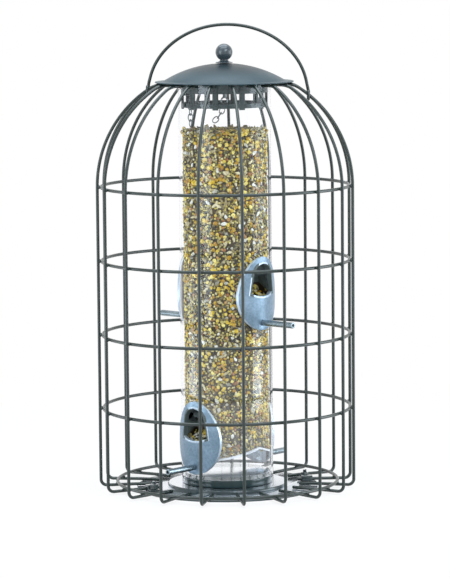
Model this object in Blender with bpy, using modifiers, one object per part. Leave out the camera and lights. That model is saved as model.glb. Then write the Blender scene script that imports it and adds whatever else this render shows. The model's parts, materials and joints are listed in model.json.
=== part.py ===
"""A caged seed bird feeder, standing on its base plate.

A clear tube with four cast ports and perches stands on a plastic cap in the middle of a round cage of
wires. The cage keeps large birds off. The lid lifts off the cage, a chain ties it to the tube, and the
bail hooks round two of the cage wires. All sizes are in metres, +Z is up, and the origin is under the
middle of the base plate. The front is -Y.
"""

import math

import bmesh
import bpy
from mathutils import Matrix, Vector

# General
CLEARANCE = 0.0003
OVERRUN = 0.004
WELD_DISTANCE = 0.000001
SCREW_MERGE_DISTANCE = 0.00001

# Cage. A reach is counted outward from the face of the tube
WIRE_DIAMETER = 0.0027
CAGE_RADIUS = 0.107
CAGE_WIRES = 19
FIRST_WIRE_ANGLE = math.radians(12)
RINGS = 4
FOOT_RING_SHARE = 0.8682
FOOT_END_GAP = 0.01
FOOT_BEND_RADIUS = 0.005
FOOT_DROOP = 0.0006
SHOULDER_ARC_RADIUS = 0.0977
CROWN_START_REACH = 0.02425
CROWN_END_REACH = 0.01325
WIRE_TIP_REACH = 0.00505
TOP_RING_REACH = 0.00645

# Base plate, a shallow pressing with a turned-down edge and a raised platform
PLATE_SHARE = 0.7187
PLATE_GAUGE = 0.001
PLATE_SKIRT = 0.0017
PLATE_EDGE_RADIUS = 0.0008
PLATFORM_LEDGE = 0.0123
PLATFORM_RISE = 0.0029

# Clamps that hold two of the wire feet down on the plate
CLAMP_WIRES = (0, 10)
STUD_RADIUS = 0.0015
STUD_HEIGHT = 0.0085
STUD_OFFSET = 0.0068
SADDLE_GAUGE = 0.0014
SADDLE_LENGTH = 0.009
SADDLE_FOOT = 0.003
NUT_RADIUS = 0.0033
NUT_HEIGHT = 0.0042
NUT_KNURLS = 12
KNURL_DEPTH = 0.0005

# Base cap
CAP_INSET = 0.00055
CAP_HEIGHT = 0.006
CAP_RIBS = 36
CAP_RIB_DEPTH = 0.0006
SPIGOT_HEIGHT = 0.0028

# Tube
TUBE_RADIUS = 0.03875
TUBE_WALL = 0.0022
TUBE_HEIGHT = 0.330

# Ports, whose heights are counted from the foot of the tube
PORT_HEIGHT = 0.035
PORT_SPACING = 0.1208
LOWER_PORT_ANGLES = (math.radians(-132), math.radians(48))
UPPER_PORT_ANGLES = (math.radians(-42), math.radians(138))
FLANGE_HALF_WIDTH = 0.0228
FLANGE_HALF_HEIGHT = 0.03085
FLANGE_EGG_SHARE = 0.1
FLANGE_GAUGE = 0.0024
RIM_WIDTH = 0.0016
RIM_PROUD = 0.0009
MOUTH_HALF_WIDTH = 0.013
MOUTH_ARCH_RADIUS = 0.0108
MOUTH_TOP = 0.025
MOUTH_SILL = 0.0005
MOUTH_SCOOP = 0.003
SCOOP_SIDE_SHARE = 0.75
HOOD_WALL = 0.0016
HOOD_DEPTH = 0.0148
HOOD_BACK_DROP = 0.0176
HOOD_LEDGE = 0.0002

# Perches
PERCH_RADIUS = 0.0025
PERCH_REACH = 0.03555
PERCH_DROP = 0.0245
PERCH_SPIGOT_RADIUS = 0.0016
PERCH_BORE_RADIUS = 0.0013
PERCH_BORE_DEPTH = 0.004
PERCH_EDGE = 0.0004

# Seed baffle, a folded wedge above the foot of the tube
BAFFLE_EDGE_HEIGHT = 0.0165
BAFFLE_RIDGE_RISE = 0.0094
BAFFLE_GAUGE = 0.0016

# Seed
SEED_HEADROOM = 0.0383
SEED_MOUND = 0.0012

# Lid
LID_REACH = 0.01925
LID_GAUGE = 0.0009
LID_DOME_REACH = 0.01165
LID_SPHERE_SHARE = 1.9246
LID_DOME_STEP = 0.0008
LID_EDGE_RADIUS = 0.0006
LID_HOLE_RADIUS = 0.0023

# Knob on the lid
KNOB_RADIUS = 0.00715
KNOB_RISE = 0.0092
KNOB_NECK_RADIUS = 0.0034
KNOB_FOOT_RADIUS = 0.0071
KNOB_FOOT_EDGE = 0.0006
KNOB_STUD_RADIUS = 0.002

# Plug under the lid, a crown that fits in the tube
PLUG_LENGTH = 0.0214
PLUG_WALL = 0.002
PLUG_WEB = 0.002
PLUG_WINDOW_TOP = 0.0081
PLUG_WINDOW_HEIGHT = 0.0083
PLUG_TAB = 0.0013
PLUG_BOSS_RADIUS = 0.006
PLUG_RIBS = 10
PLUG_RIB_WIDTH = 0.005
PLUG_RIB_ANGLE = math.radians(-102)
PLUG_SLOT_WIDTH = 0.0046

# Eye nut that holds the plug and the chain to the knob's stud
EYE_NUT_HEIGHT = 0.0034
EYE_NUT_RADIUS = 0.0043
EYE_NUT_FLOOR = 0.0010
EYE_SHANK = 0.0066
EYE_SHANK_RADIUS = 0.0015
EYE_RADIUS = 0.0026
EYE_WIRE_DIAMETER = 0.0015

# Chain and the hook that ties it to the tube
LINK_WIRE_DIAMETER = 0.001
LINK_LENGTH = 0.007
LINK_WIDTH = 0.005
HOOK_WIRE_DIAMETER = 0.0012
HOOK_ANGLE = math.radians(204)
HOOK_DROP = 0.0093
HOOK_BEND_RADIUS = 0.0016
HOOK_TAIL = 0.005
SIDE_CHAIN_INSET = 0.00555
SIDE_CHAIN_LINKS = 5
LID_CHAIN_LINKS = 4
LID_CHAIN_SWAY = 0.0088

# Bail, whose eyes lie beyond the edge of the lid
BAIL_RISE = 0.0562
BAIL_NARROWING = 0.0008
BAIL_LEFT_WIRE = 9
BAIL_LEFT_REACH = 0.006
BAIL_RIGHT_WIRE = 18
BAIL_RIGHT_REACH = 0.0125
BAIL_EYE_RADIUS = 0.0039
BAIL_EYE_TURN = math.radians(235)
BAIL_LEG = 0.009

# Radii that follow from the sizes above
BORE_RADIUS = TUBE_RADIUS - TUBE_WALL
CAP_RADIUS = TUBE_RADIUS - CAP_INSET
PLATFORM_RADIUS = CAP_RADIUS + PLATFORM_LEDGE
PLATE_RADIUS = CAGE_RADIUS * PLATE_SHARE
FOOT_END_RADIUS = PLATFORM_RADIUS + FOOT_END_GAP
CLAMP_RADIUS = (FOOT_END_RADIUS + PLATE_RADIUS) / 2
FOOT_RING_RADIUS = CAGE_RADIUS * FOOT_RING_SHARE
CROWN_START_RADIUS = TUBE_RADIUS + CROWN_START_REACH
CROWN_END_RADIUS = TUBE_RADIUS + CROWN_END_REACH
WIRE_TIP_RADIUS = TUBE_RADIUS + WIRE_TIP_REACH
TOP_RING_RADIUS = TUBE_RADIUS + TOP_RING_REACH
PERCH_TIP_RADIUS = TUBE_RADIUS + PERCH_REACH
HOOD_FACE = TUBE_RADIUS + CLEARANCE + FLANGE_GAUGE / 4
LID_RADIUS = TUBE_RADIUS + LID_REACH
LID_DOME_RADIUS = TUBE_RADIUS + LID_DOME_REACH
LID_DOME_SPHERE = LID_DOME_RADIUS * LID_SPHERE_SHARE
PLUG_RADIUS = BORE_RADIUS - CLEARANCE
SIDE_CHAIN_RADIUS = BORE_RADIUS - SIDE_CHAIN_INSET
BAIL_LEFT_RADIUS = LID_RADIUS + BAIL_LEFT_REACH
BAIL_RIGHT_RADIUS = LID_RADIUS + BAIL_RIGHT_REACH

# Heights that follow, up to the top of the tube. The crown of the cage holds the lid just over it
PLATFORM_TOP = PLATE_SKIRT + PLATFORM_RISE
CAP_Z = PLATFORM_TOP + CLEARANCE
CAP_TOP = CAP_Z + CAP_HEIGHT
TUBE_Z = CAP_TOP + CLEARANCE
TUBE_TOP = TUBE_Z + TUBE_HEIGHT
SEED_TOP = TUBE_TOP - SEED_HEADROOM
HOOK_Z = TUBE_TOP - HOOK_DROP
FOOT_Z = PLATE_SKIRT + CLEARANCE + WIRE_DIAMETER / 2
FOOT_BEND_START = CAGE_RADIUS - FOOT_BEND_RADIUS
FOOT_SLOPE_SHARE = (FOOT_RING_RADIUS - PLATE_RADIUS) / (FOOT_BEND_START - PLATE_RADIUS)
FOOT_RING_Z = FOOT_Z - FOOT_DROOP * FOOT_SLOPE_SHARE + WIRE_DIAMETER + CLEARANCE
LAID_WIRE_Z = FOOT_Z + WIRE_DIAMETER + CLEARANCE
SHOULDER_CENTRE = CAGE_RADIUS - SHOULDER_ARC_RADIUS
SHOULDER_TURN = math.acos((CROWN_START_RADIUS - SHOULDER_CENTRE) / SHOULDER_ARC_RADIUS)
CROWN_ARC_RADIUS = (CROWN_START_RADIUS - CROWN_END_RADIUS) / math.cos(SHOULDER_TURN)
CROWN_Z = TUBE_TOP - WIRE_DIAMETER / 2
CROWN_CENTRE_Z = CROWN_Z - CROWN_ARC_RADIUS
SHOULDER_Z = CROWN_CENTRE_Z - (SHOULDER_ARC_RADIUS - CROWN_ARC_RADIUS) * math.sin(SHOULDER_TURN)
RING_PITCH = (SHOULDER_Z - LAID_WIRE_Z) / RINGS
RING_HEIGHTS = [LAID_WIRE_Z + RING_PITCH * (ring + 1) for ring in range(RINGS)]

# Heights of the lid and of what hangs under it
LID_SEAT_Z = CROWN_Z + WIRE_DIAMETER / 2 + CLEARANCE
LID_BRIM_TOP = LID_SEAT_Z + LID_GAUGE
LID_SPHERE_Z = (
    LID_BRIM_TOP + LID_DOME_STEP - math.sqrt(LID_DOME_SPHERE**2 - LID_DOME_RADIUS**2)
)
LID_TOP = LID_SPHERE_Z + LID_DOME_SPHERE
PLUG_TOP = TUBE_TOP
PLUG_UNDERSIDE = PLUG_TOP - PLUG_WEB


def clear_scene():
    for obj in list(bpy.data.objects):
        bpy.data.objects.remove(obj, do_unlink=True)


def collection(name):
    made = bpy.data.collections.new(name)
    bpy.context.scene.collection.children.link(made)
    return made


def material(name, colour, roughness, metallic=0.0, alpha=1.0):
    made = bpy.data.materials.new(name)
    made.use_nodes = True
    surface = made.node_tree.nodes["Principled BSDF"]
    surface.inputs["Base Color"].default_value = (*colour, 1.0)
    surface.inputs["Roughness"].default_value = roughness
    surface.inputs["Metallic"].default_value = metallic
    surface.inputs["Alpha"].default_value = alpha
    made.diffuse_color = (*colour, alpha)
    return made


clear_scene()
PARTS = collection("seed_bird_feeder")
CUTTERS = collection("cutters")

POWDER_COAT = material("powder_coat", (0.075, 0.100, 0.100), 0.42, 0.2)
LID_PAINT = material("lid_paint", (0.130, 0.190, 0.215), 0.35, 0.2)
KNOB_PAINT = material("knob_paint", (0.085, 0.110, 0.120), 0.32, 0.2)
PLATE_PAINT = material("plate_paint", (0.115, 0.150, 0.155), 0.22, 0.2)
GREEN_PLASTIC = material("green_plastic", (0.035, 0.065, 0.070), 0.45)
CLEAR_PLASTIC = material("clear_plastic", (0.92, 0.94, 0.97), 0.05, 0.0, 0.25)
CAST_ZINC = material("cast_zinc", (0.33, 0.45, 0.60), 0.38, 0.55)
PERCH_METAL = material("perch_metal", (0.26, 0.34, 0.38), 0.38, 0.6)
CHAIN_METAL = material("chain_metal", (0.16, 0.19, 0.20), 0.35, 0.8)
MIXED_SEED = material("mixed_seed", (0.40, 0.25, 0.10), 0.8)


# Makers of basic shapes


def arc(centre, radius, start, end, steps):
    """Points on an arc from the start angle to the end angle, both ends included."""
    turn = (end - start) / steps
    return [
        (
            centre[0] + radius * math.cos(start + turn * step),
            centre[1] + radius * math.sin(start + turn * step),
        )
        for step in range(steps + 1)
    ]


def place(data, name, matrix=None, home=PARTS):
    """An object in a collection, at a place given as a matrix."""
    obj = bpy.data.objects.new(name, data)
    obj.matrix_world = matrix or Matrix()
    home.objects.link(obj)
    return obj


def turned(name, profile, steps, finish, matrix=None, home=PARTS):
    """A solid turned about Z from (radius, height) points that run down its outer side."""
    last = len(profile) - 1
    edges = [(point, point + 1) for point in range(last)]
    if profile[0][0] > 0:
        edges.append((last, 0))
    mesh = bpy.data.meshes.new(name)
    mesh.from_pydata([(radius, 0, height) for radius, height in profile], edges, [])
    mesh.materials.append(finish)
    obj = place(mesh, name, matrix, home)
    add_screw(obj, steps)
    return obj


def add_screw(obj, steps):
    screw = obj.modifiers.new("turn", "SCREW")
    screw.steps = steps
    screw.render_steps = steps
    screw.use_merge_vertices = True
    screw.merge_threshold = SCREW_MERGE_DISTANCE


def turned_sheet(name, profile, gauge, steps, finish):
    """A pressed sheet turned about Z from the line of its outer face, thickened inward."""
    mesh = bpy.data.meshes.new(name)
    edges = [(point, point + 1) for point in range(len(profile) - 1)]
    mesh.from_pydata([(radius, 0, height) for radius, height in profile], edges, [])
    mesh.materials.append(finish)
    obj = place(mesh, name)
    add_screw(obj, steps)
    shell = obj.modifiers.new("gauge", "SOLIDIFY")
    shell.thickness = gauge
    shell.offset = -1
    shell.use_even_offset = True
    return obj


def bent_wire(name, points, diameter, finish, closed=False, matrix=None):
    """A round wire along points. A closed wire has no ends."""
    curve = wire_data(name, points, diameter, finish, closed)
    return place(curve, name, matrix)


def wire_data(name, points, diameter, finish, closed=False):
    curve = bpy.data.curves.new(name, "CURVE")
    curve.dimensions = "3D"
    curve.bevel_depth = diameter / 2
    curve.bevel_resolution = 1
    curve.use_fill_caps = True
    spline = curve.splines.new("POLY")
    spline.points.add(len(points) - 1)
    for point, place_at in zip(spline.points, points):
        point.co = (*place_at, 1)
    spline.use_cyclic_u = closed
    spline.use_smooth = True
    curve.materials.append(finish)
    return curve


def slab(name, outline, thickness, finish, matrix=None, home=PARTS):
    """A flat outline in its own XY plane, half of its thickness on each side of it."""
    curve = bpy.data.curves.new(name, "CURVE")
    curve.dimensions = "2D"
    curve.fill_mode = "BOTH"
    curve.extrude = thickness / 2
    spline = curve.splines.new("POLY")
    spline.points.add(len(outline) - 1)
    for point, place_at in zip(spline.points, outline):
        point.co = (*place_at, 0, 1)
    spline.use_cyclic_u = True
    curve.materials.append(finish)
    obj = place(curve, name, matrix, home)
    return as_mesh(obj)


def as_mesh(obj):
    """The object made a plain mesh under the same name: curves filled, modifiers applied."""
    bpy.context.view_layer.update()
    graph = bpy.context.evaluated_depsgraph_get()
    mesh = bpy.data.meshes.new_from_object(obj.evaluated_get(graph), depsgraph=graph)
    name = obj.name
    home = obj.users_collection[0]
    matrix = obj.matrix_world.copy()
    hidden = obj.hide_render
    bpy.data.objects.remove(obj, do_unlink=True)
    edit = bmesh.new()
    edit.from_mesh(mesh)
    bmesh.ops.remove_doubles(edit, verts=edit.verts, dist=WELD_DISTANCE)
    bmesh.ops.recalc_face_normals(edit, faces=edit.faces)
    edit.to_mesh(mesh)
    edit.free()
    mesh.name = name
    made = place(mesh, name, matrix, home)
    made.hide_render = hidden
    return made


def rod(name, radius, low, high, finish, sides=24, matrix=None, home=PARTS):
    """A cylinder on its own Z axis, from one height to another."""
    mesh = bpy.data.meshes.new(name)
    edit = bmesh.new()
    middle = Matrix.Translation((0, 0, (low + high) / 2))
    bmesh.ops.create_cone(
        edit,
        cap_ends=True,
        segments=sides,
        radius1=radius,
        radius2=radius,
        depth=high - low,
        matrix=middle,
    )
    edit.to_mesh(mesh)
    edit.free()
    mesh.materials.append(finish)
    return place(mesh, name, matrix, home)


def as_cutter(obj):
    """Marks a helper, so that it isn't part of the feeder."""
    for home in obj.users_collection:
        home.objects.unlink(obj)
    CUTTERS.objects.link(obj)
    obj.hide_render = True
    obj.display_type = "WIRE"
    return obj


def combine(obj, other, operation):
    step = obj.modifiers.new(other.name, "BOOLEAN")
    step.operation = operation
    step.solver = "EXACT"
    step.object = other
    return obj


def cut(obj, cutter):
    return combine(obj, as_cutter(cutter), "DIFFERENCE")


def trim(obj, cutter):
    """Keeps only what lies inside the cutter."""
    return combine(obj, as_cutter(cutter), "INTERSECT")


def fuse(obj, other):
    return combine(obj, as_cutter(other), "UNION")


def smooth(obj, angle=math.radians(40)):
    """Round faces shaded smooth, with the corners left sharp."""
    obj.data.shade_smooth()
    obj.data.set_sharp_from_angle(angle=angle)
    return obj


def turn_about_z(angle):
    return Matrix.Rotation(angle, 4, "Z")


def radial_prism():
    """Turns a flat outline so that its X runs along Y, its Y runs up and its thickness along X."""
    return Matrix(((0, 0, 1, 0), (1, 0, 0, 0), (0, 1, 0, 0), (0, 0, 0, 1)))


def upright_prism():
    """Turns a flat outline so that its X stays, its Y runs up and its thickness along Y."""
    return Matrix.Rotation(math.pi / 2, 4, "X")


# Cage


def wire_profile():
    """Centreline of a cage wire as (radius, height) points, from its foot to its tip under the lid."""
    points = [(FOOT_END_RADIUS, FOOT_Z), (PLATE_RADIUS, FOOT_Z)]
    bend = (FOOT_BEND_START, FOOT_Z - FOOT_DROOP + FOOT_BEND_RADIUS)
    points += arc(bend, FOOT_BEND_RADIUS, -math.pi / 2, 0, 3)
    points += arc((SHOULDER_CENTRE, SHOULDER_Z), SHOULDER_ARC_RADIUS, 0, SHOULDER_TURN, 7)
    crown_centre = (CROWN_END_RADIUS, CROWN_CENTRE_Z)
    crown = arc(crown_centre, CROWN_ARC_RADIUS, SHOULDER_TURN, math.pi / 2, 3)
    points += crown[1:]
    points.append((WIRE_TIP_RADIUS, CROWN_Z))
    return points


def dome_height(radius):
    """Height of a cage wire's centreline where it passes a radius on the dome."""
    if radius > CROWN_START_RADIUS:
        return SHOULDER_Z + math.sqrt(SHOULDER_ARC_RADIUS**2 - (radius - SHOULDER_CENTRE) ** 2)
    return CROWN_CENTRE_Z + math.sqrt(CROWN_ARC_RADIUS**2 - (radius - CROWN_END_RADIUS) ** 2)


def wire_angle(index):
    return FIRST_WIRE_ANGLE + 2 * math.pi * index / CAGE_WIRES


def ring_points(radius, steps):
    turn = 2 * math.pi / steps
    turns = [turn * step for step in range(steps)]
    return [(radius * math.cos(angle), radius * math.sin(angle), 0) for angle in turns]


def make_cage():
    """The wires share one curve. The four rings lie inside them, and the foot ring lies on their feet."""
    points = [(radius, 0, height) for radius, height in wire_profile()]
    data = wire_data("cage_wire", points, WIRE_DIAMETER, POWDER_COAT)
    for index in range(CAGE_WIRES):
        place(data, f"cage_wire_{index + 1:02d}", turn_about_z(wire_angle(index)))
    inner = CAGE_RADIUS - WIRE_DIAMETER - CLEARANCE
    points = ring_points(inner, 2 * CAGE_WIRES)
    ring = wire_data("cage_ring", points, WIRE_DIAMETER, POWDER_COAT, True)
    for index, height in enumerate(RING_HEIGHTS):
        turn = turn_about_z(FIRST_WIRE_ANGLE)
        place(ring, f"cage_ring_{index + 1}", Matrix.Translation((0, 0, height)) @ turn)
    top_ring_z = CROWN_Z + WIRE_DIAMETER + CLEARANCE
    for name, radius, height, steps in (
        ("cage_foot_ring", FOOT_RING_RADIUS, FOOT_RING_Z, 2 * CAGE_WIRES),
        ("cage_top_ring", TOP_RING_RADIUS, top_ring_z, CAGE_WIRES),
    ):
        points = ring_points(radius, steps)
        lift = Matrix.Translation((0, 0, height))
        bent_wire(name, points, WIRE_DIAMETER, POWDER_COAT, True, lift)


# Base plate and the clamps on it


def clamp_matrix(index):
    """Frame of a clamp: its origin on the plate under the wire, X outward along the wire."""
    return turn_about_z(wire_angle(index)) @ Matrix.Translation((CLAMP_RADIUS, 0, PLATE_SKIRT))


def make_base_plate():
    """A pressed plate whose turned-down edge stands on the ground, with a stud for each clamp."""
    edge_centre = (PLATE_RADIUS - PLATE_EDGE_RADIUS, PLATE_SKIRT - PLATE_EDGE_RADIUS)
    profile = [(0, PLATFORM_TOP), (PLATFORM_RADIUS - PLATE_EDGE_RADIUS, PLATFORM_TOP)]
    profile += [(PLATFORM_RADIUS, PLATFORM_TOP - PLATE_EDGE_RADIUS), (PLATFORM_RADIUS, PLATE_SKIRT)]
    profile += arc(edge_centre, PLATE_EDGE_RADIUS, math.pi / 2, 0, 2)
    profile.append((PLATE_RADIUS, 0))
    plate = turned_sheet("base_plate", profile, PLATE_GAUGE, 36, PLATE_PAINT)
    for index in CLAMP_WIRES:
        root = -PLATE_GAUGE / 2
        stand = clamp_matrix(index) @ Matrix.Translation((0, STUD_OFFSET, 0))
        stud = rod(f"stud_{index}", STUD_RADIUS, root, STUD_HEIGHT, PLATE_PAINT, 12, stand)
        fuse(plate, stud)
    smooth(as_mesh(plate))


def make_clamps():
    """Each clamp is a strip bent over a wire foot, held down by a knurled nut on a stud beside it."""
    inner = WIRE_DIAMETER / 2 + CLEARANCE
    outer = inner + SADDLE_GAUGE
    low = CLEARANCE
    roof = CLEARANCE + WIRE_DIAMETER + CLEARANCE
    far = STUD_OFFSET + SADDLE_FOOT
    strip = [
        (-outer, low),
        (-inner, low),
        (-inner, roof),
        (inner, roof),
        (inner, low),
        (far, low),
        (far, low + SADDLE_GAUGE),
        (outer, low + SADDLE_GAUGE),
        (outer, roof + SADDLE_GAUGE),
        (-outer, roof + SADDLE_GAUGE),
    ]
    hole = STUD_RADIUS + CLEARANCE
    knurls = notched_circle(NUT_RADIUS, KNURL_DEPTH, NUT_KNURLS)
    seat = low + SADDLE_GAUGE + CLEARANCE
    for number, index in enumerate(CLAMP_WIRES, 1):
        here = clamp_matrix(index)
        at_stud = here @ Matrix.Translation((0, STUD_OFFSET, 0))
        along = here @ radial_prism()
        saddle = slab(f"clamp_saddle_{number}", strip, SADDLE_LENGTH, POWDER_COAT, along)
        cut(saddle, rod(f"saddle_bore_{number}", hole, -OVERRUN, OVERRUN, POWDER_COAT, 12, at_stud))
        lift = at_stud @ Matrix.Translation((0, 0, seat + NUT_HEIGHT / 2))
        nut = slab(f"clamp_nut_{number}", knurls, NUT_HEIGHT, POWDER_COAT, lift)
        cut(nut, rod(f"nut_bore_{number}", hole, -NUT_HEIGHT, NUT_HEIGHT, POWDER_COAT, 12, lift))


def notched_circle(radius, depth, count):
    """A round outline whose edge goes in and out a number of times."""
    outline = []
    for step in range(2 * count):
        turn = math.pi / count * step
        reach = radius - depth * (step % 2)
        outline.append((reach * math.cos(turn), reach * math.sin(turn)))
    return outline


# Tube and the cap that it stands on


def make_base_cap():
    """A ribbed cap on the platform, with a low spigot that centres the tube."""
    middle = Matrix.Translation((0, 0, (CAP_Z + CAP_TOP) / 2))
    outline = notched_circle(CAP_RADIUS, CAP_RIB_DEPTH, CAP_RIBS)
    cap = slab("base_cap", outline, CAP_HEIGHT, GREEN_PLASTIC, middle)
    low = CAP_Z + CAP_HEIGHT / 2
    high = CAP_TOP + SPIGOT_HEIGHT
    fuse(cap, rod("spigot", BORE_RADIUS - CLEARANCE, low, high, GREEN_PLASTIC, 36))
    smooth(as_mesh(cap), math.radians(50))


def port_places():
    """(name, angle, height) of each port."""
    lower = TUBE_Z + PORT_HEIGHT
    return [
        ("lower_front", LOWER_PORT_ANGLES[0], lower),
        ("lower_back", LOWER_PORT_ANGLES[1], lower),
        ("upper_front", UPPER_PORT_ANGLES[0], lower + PORT_SPACING),
        ("upper_back", UPPER_PORT_ANGLES[1], lower + PORT_SPACING),
    ]


def port_matrix(angle, height):
    """Frame of a port: X outward through the mouth, Z up, origin on the tube's axis."""
    return Matrix.Translation((0, 0, height)) @ turn_about_z(angle)


def mouth_outline(margin, drop=0.0):
    """The feeding mouth grown by a margin: a scooped sill, sides that lean in and a round arch."""
    wide = MOUTH_HALF_WIDTH + margin
    radius = MOUTH_ARCH_RADIUS + margin
    spring = MOUTH_TOP - MOUTH_ARCH_RADIUS
    sill = MOUTH_SILL - margin - drop
    outline = [(wide, sill)] + arc((0, spring), radius, 0, math.pi, 8) + [(-wide, sill)]
    if drop == 0:
        dips = ((-wide / 2, SCOOP_SIDE_SHARE), (0, 1), (wide / 2, SCOOP_SIDE_SHARE))
        outline += [(across, sill - MOUTH_SCOOP * share) for across, share in dips]
    return outline


def mouth_prism(name, margin, near, far, angle, height, drop=0.0):
    """A block with the mouth's outline, between two distances from the tube's axis."""
    here = port_matrix(angle, height) @ Matrix.Translation(((near + far) / 2, 0, 0)) @ radial_prism()
    return slab(name, mouth_outline(margin, drop), far - near, CAST_ZINC, here)


def make_tube():
    """The clear tube, with a hole behind each port and a small one for the chain's hook."""
    profile = [
        (TUBE_RADIUS, TUBE_TOP),
        (TUBE_RADIUS, TUBE_Z),
        (BORE_RADIUS, TUBE_Z),
        (BORE_RADIUS, TUBE_TOP),
    ]
    tube = turned("tube", profile, 40, CLEAR_PLASTIC)
    margin = HOOD_WALL + CLEARANCE
    near = BORE_RADIUS / 2
    far = TUBE_RADIUS + OVERRUN
    for name, angle, height in port_places():
        cut(tube, mouth_prism(f"tube_hole_{name}", margin, near, far, angle, height))
    radius = HOOK_WIRE_DIAMETER / 2 + CLEARANCE
    outward = port_matrix(HOOK_ANGLE, HOOK_Z) @ Matrix.Rotation(math.pi / 2, 4, "Y")
    cut(tube, rod("hook_hole", radius, near, far, CLEAR_PLASTIC, 8, outward))
    smooth(as_mesh(tube))


# Ports and perches


def flange_outline():
    """An egg, widest a little below its middle."""
    outline = []
    for across, up in arc((0, 0), 1, 0, 2 * math.pi, 28)[:-1]:
        across = across * (1 - FLANGE_EGG_SHARE * up)
        outline.append((FLANGE_HALF_WIDTH * across, FLANGE_HALF_HEIGHT * up))
    return outline


def curved_plate(name, outline, inner, outer):
    """A plate that follows the tube, with a flat outline seen from outside."""
    high = FLANGE_HALF_HEIGHT + OVERRUN
    ring = [(outer, high), (outer, -high), (inner, -high), (inner, high)]
    plate = turned(name, ring, 48, CAST_ZINC)
    here = Matrix.Translation((outer, 0, 0)) @ radial_prism()
    trim(plate, slab(f"{name}_outline", outline, outer, CAST_ZINC, here))
    return as_mesh(plate)


def make_hood():
    """Half tunnel inside the tube that keeps the seed from pouring out, open below on a slope."""
    back = HOOD_FACE - HOOD_DEPTH
    top = MOUTH_TOP + HOOD_WALL
    sill = MOUTH_SILL - HOOD_WALL
    side = [
        (HOOD_FACE, top + OVERRUN),
        (back, top + OVERRUN),
        (back, top - HOOD_BACK_DROP),
        (HOOD_FACE - HOOD_WALL, sill),
        (HOOD_FACE, sill),
    ]
    wide = 2 * (MOUTH_HALF_WIDTH + HOOD_WALL + OVERRUN)
    hood = slab("hood", side, wide, CAST_ZINC, upright_prism())
    far = TUBE_RADIUS + OVERRUN
    trim(hood, mouth_prism("hood_outside", HOOD_WALL, 0, far, 0, 0))
    cut(hood, mouth_prism("hood_inside", -HOOD_LEDGE, back + HOOD_WALL, far, 0, 0, OVERRUN))
    return as_mesh(hood)


def make_ports():
    """Four copies of one casting: a curved flange, a raised rim round the mouth and a hood inside."""
    inner = TUBE_RADIUS + CLEARANCE
    outer = inner + FLANGE_GAUGE
    within = inner + FLANGE_GAUGE / 2
    port = curved_plate("port", flange_outline(), inner, outer)
    fuse(port, curved_plate("port_rim", mouth_outline(RIM_WIDTH), within, outer + RIM_PROUD))
    fuse(port, make_hood())
    near = inner * math.cos(math.asin(MOUTH_HALF_WIDTH / inner)) - CLEARANCE
    cut(port, mouth_prism("mouth", 0, near, outer + OVERRUN, 0, 0))
    outward = Matrix.Translation((0, 0, -PERCH_DROP)) @ Matrix.Rotation(math.pi / 2, 4, "Y")
    hole = PERCH_SPIGOT_RADIUS + CLEARANCE
    cut(port, rod("perch_hole", hole, inner - OVERRUN, outer + OVERRUN, CAST_ZINC, 12, outward))
    port = smooth(as_mesh(port))
    for name, angle, height in port_places():
        place(port.data, f"port_{name}", port_matrix(angle, height))
    bpy.data.objects.remove(port, do_unlink=True)


def make_perches():
    """Turned pegs with a spigot in the flange and a bored end."""
    face = TUBE_RADIUS + CLEARANCE + FLANGE_GAUGE
    floor = PERCH_TIP_RADIUS - PERCH_BORE_DEPTH
    profile = [
        (0, floor),
        (PERCH_BORE_RADIUS, floor),
        (PERCH_BORE_RADIUS, PERCH_TIP_RADIUS),
        (PERCH_RADIUS - PERCH_EDGE, PERCH_TIP_RADIUS),
        (PERCH_RADIUS, PERCH_TIP_RADIUS - PERCH_EDGE),
        (PERCH_RADIUS, face + CLEARANCE),
        (PERCH_SPIGOT_RADIUS, face + CLEARANCE),
        (PERCH_SPIGOT_RADIUS, face - FLANGE_GAUGE + CLEARANCE),
        (0, face - FLANGE_GAUGE + CLEARANCE),
    ]
    for name, angle, height in port_places():
        down = Matrix.Translation((0, 0, -PERCH_DROP))
        here = port_matrix(angle, height) @ down @ Matrix.Rotation(math.pi / 2, 4, "Y")
        smooth(turned(f"perch_{name}", profile, 12, PERCH_METAL, here))


# What is inside the tube


def baffle_outline(lift, depth):
    """Section across the baffle's ridge, raised by a lift and as deep as asked."""
    reach = BORE_RADIUS + OVERRUN
    edge = TUBE_Z + BAFFLE_EDGE_HEIGHT + lift
    fall = BAFFLE_RIDGE_RISE / BORE_RADIUS * OVERRUN
    ridge = edge + BAFFLE_RIDGE_RISE
    return [
        (-reach, edge - fall),
        (-reach, edge - fall - depth),
        (0, ridge - depth),
        (reach, edge - fall - depth),
        (reach, edge - fall),
        (0, ridge),
    ]


def make_baffle():
    """A roof of two slopes that sends the last of the seed to the two lower ports."""
    here = turn_about_z(LOWER_PORT_ANGLES[1]) @ upright_prism()
    outline = baffle_outline(0, BAFFLE_GAUGE)
    baffle = slab("seed_baffle", outline, 4 * BORE_RADIUS, CLEAR_PLASTIC, here)
    edge = BORE_RADIUS - CLEARANCE
    trim(baffle, rod("baffle_disc", edge, TUBE_Z, TUBE_TOP, CLEAR_PLASTIC, 48))
    return as_mesh(baffle)


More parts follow.
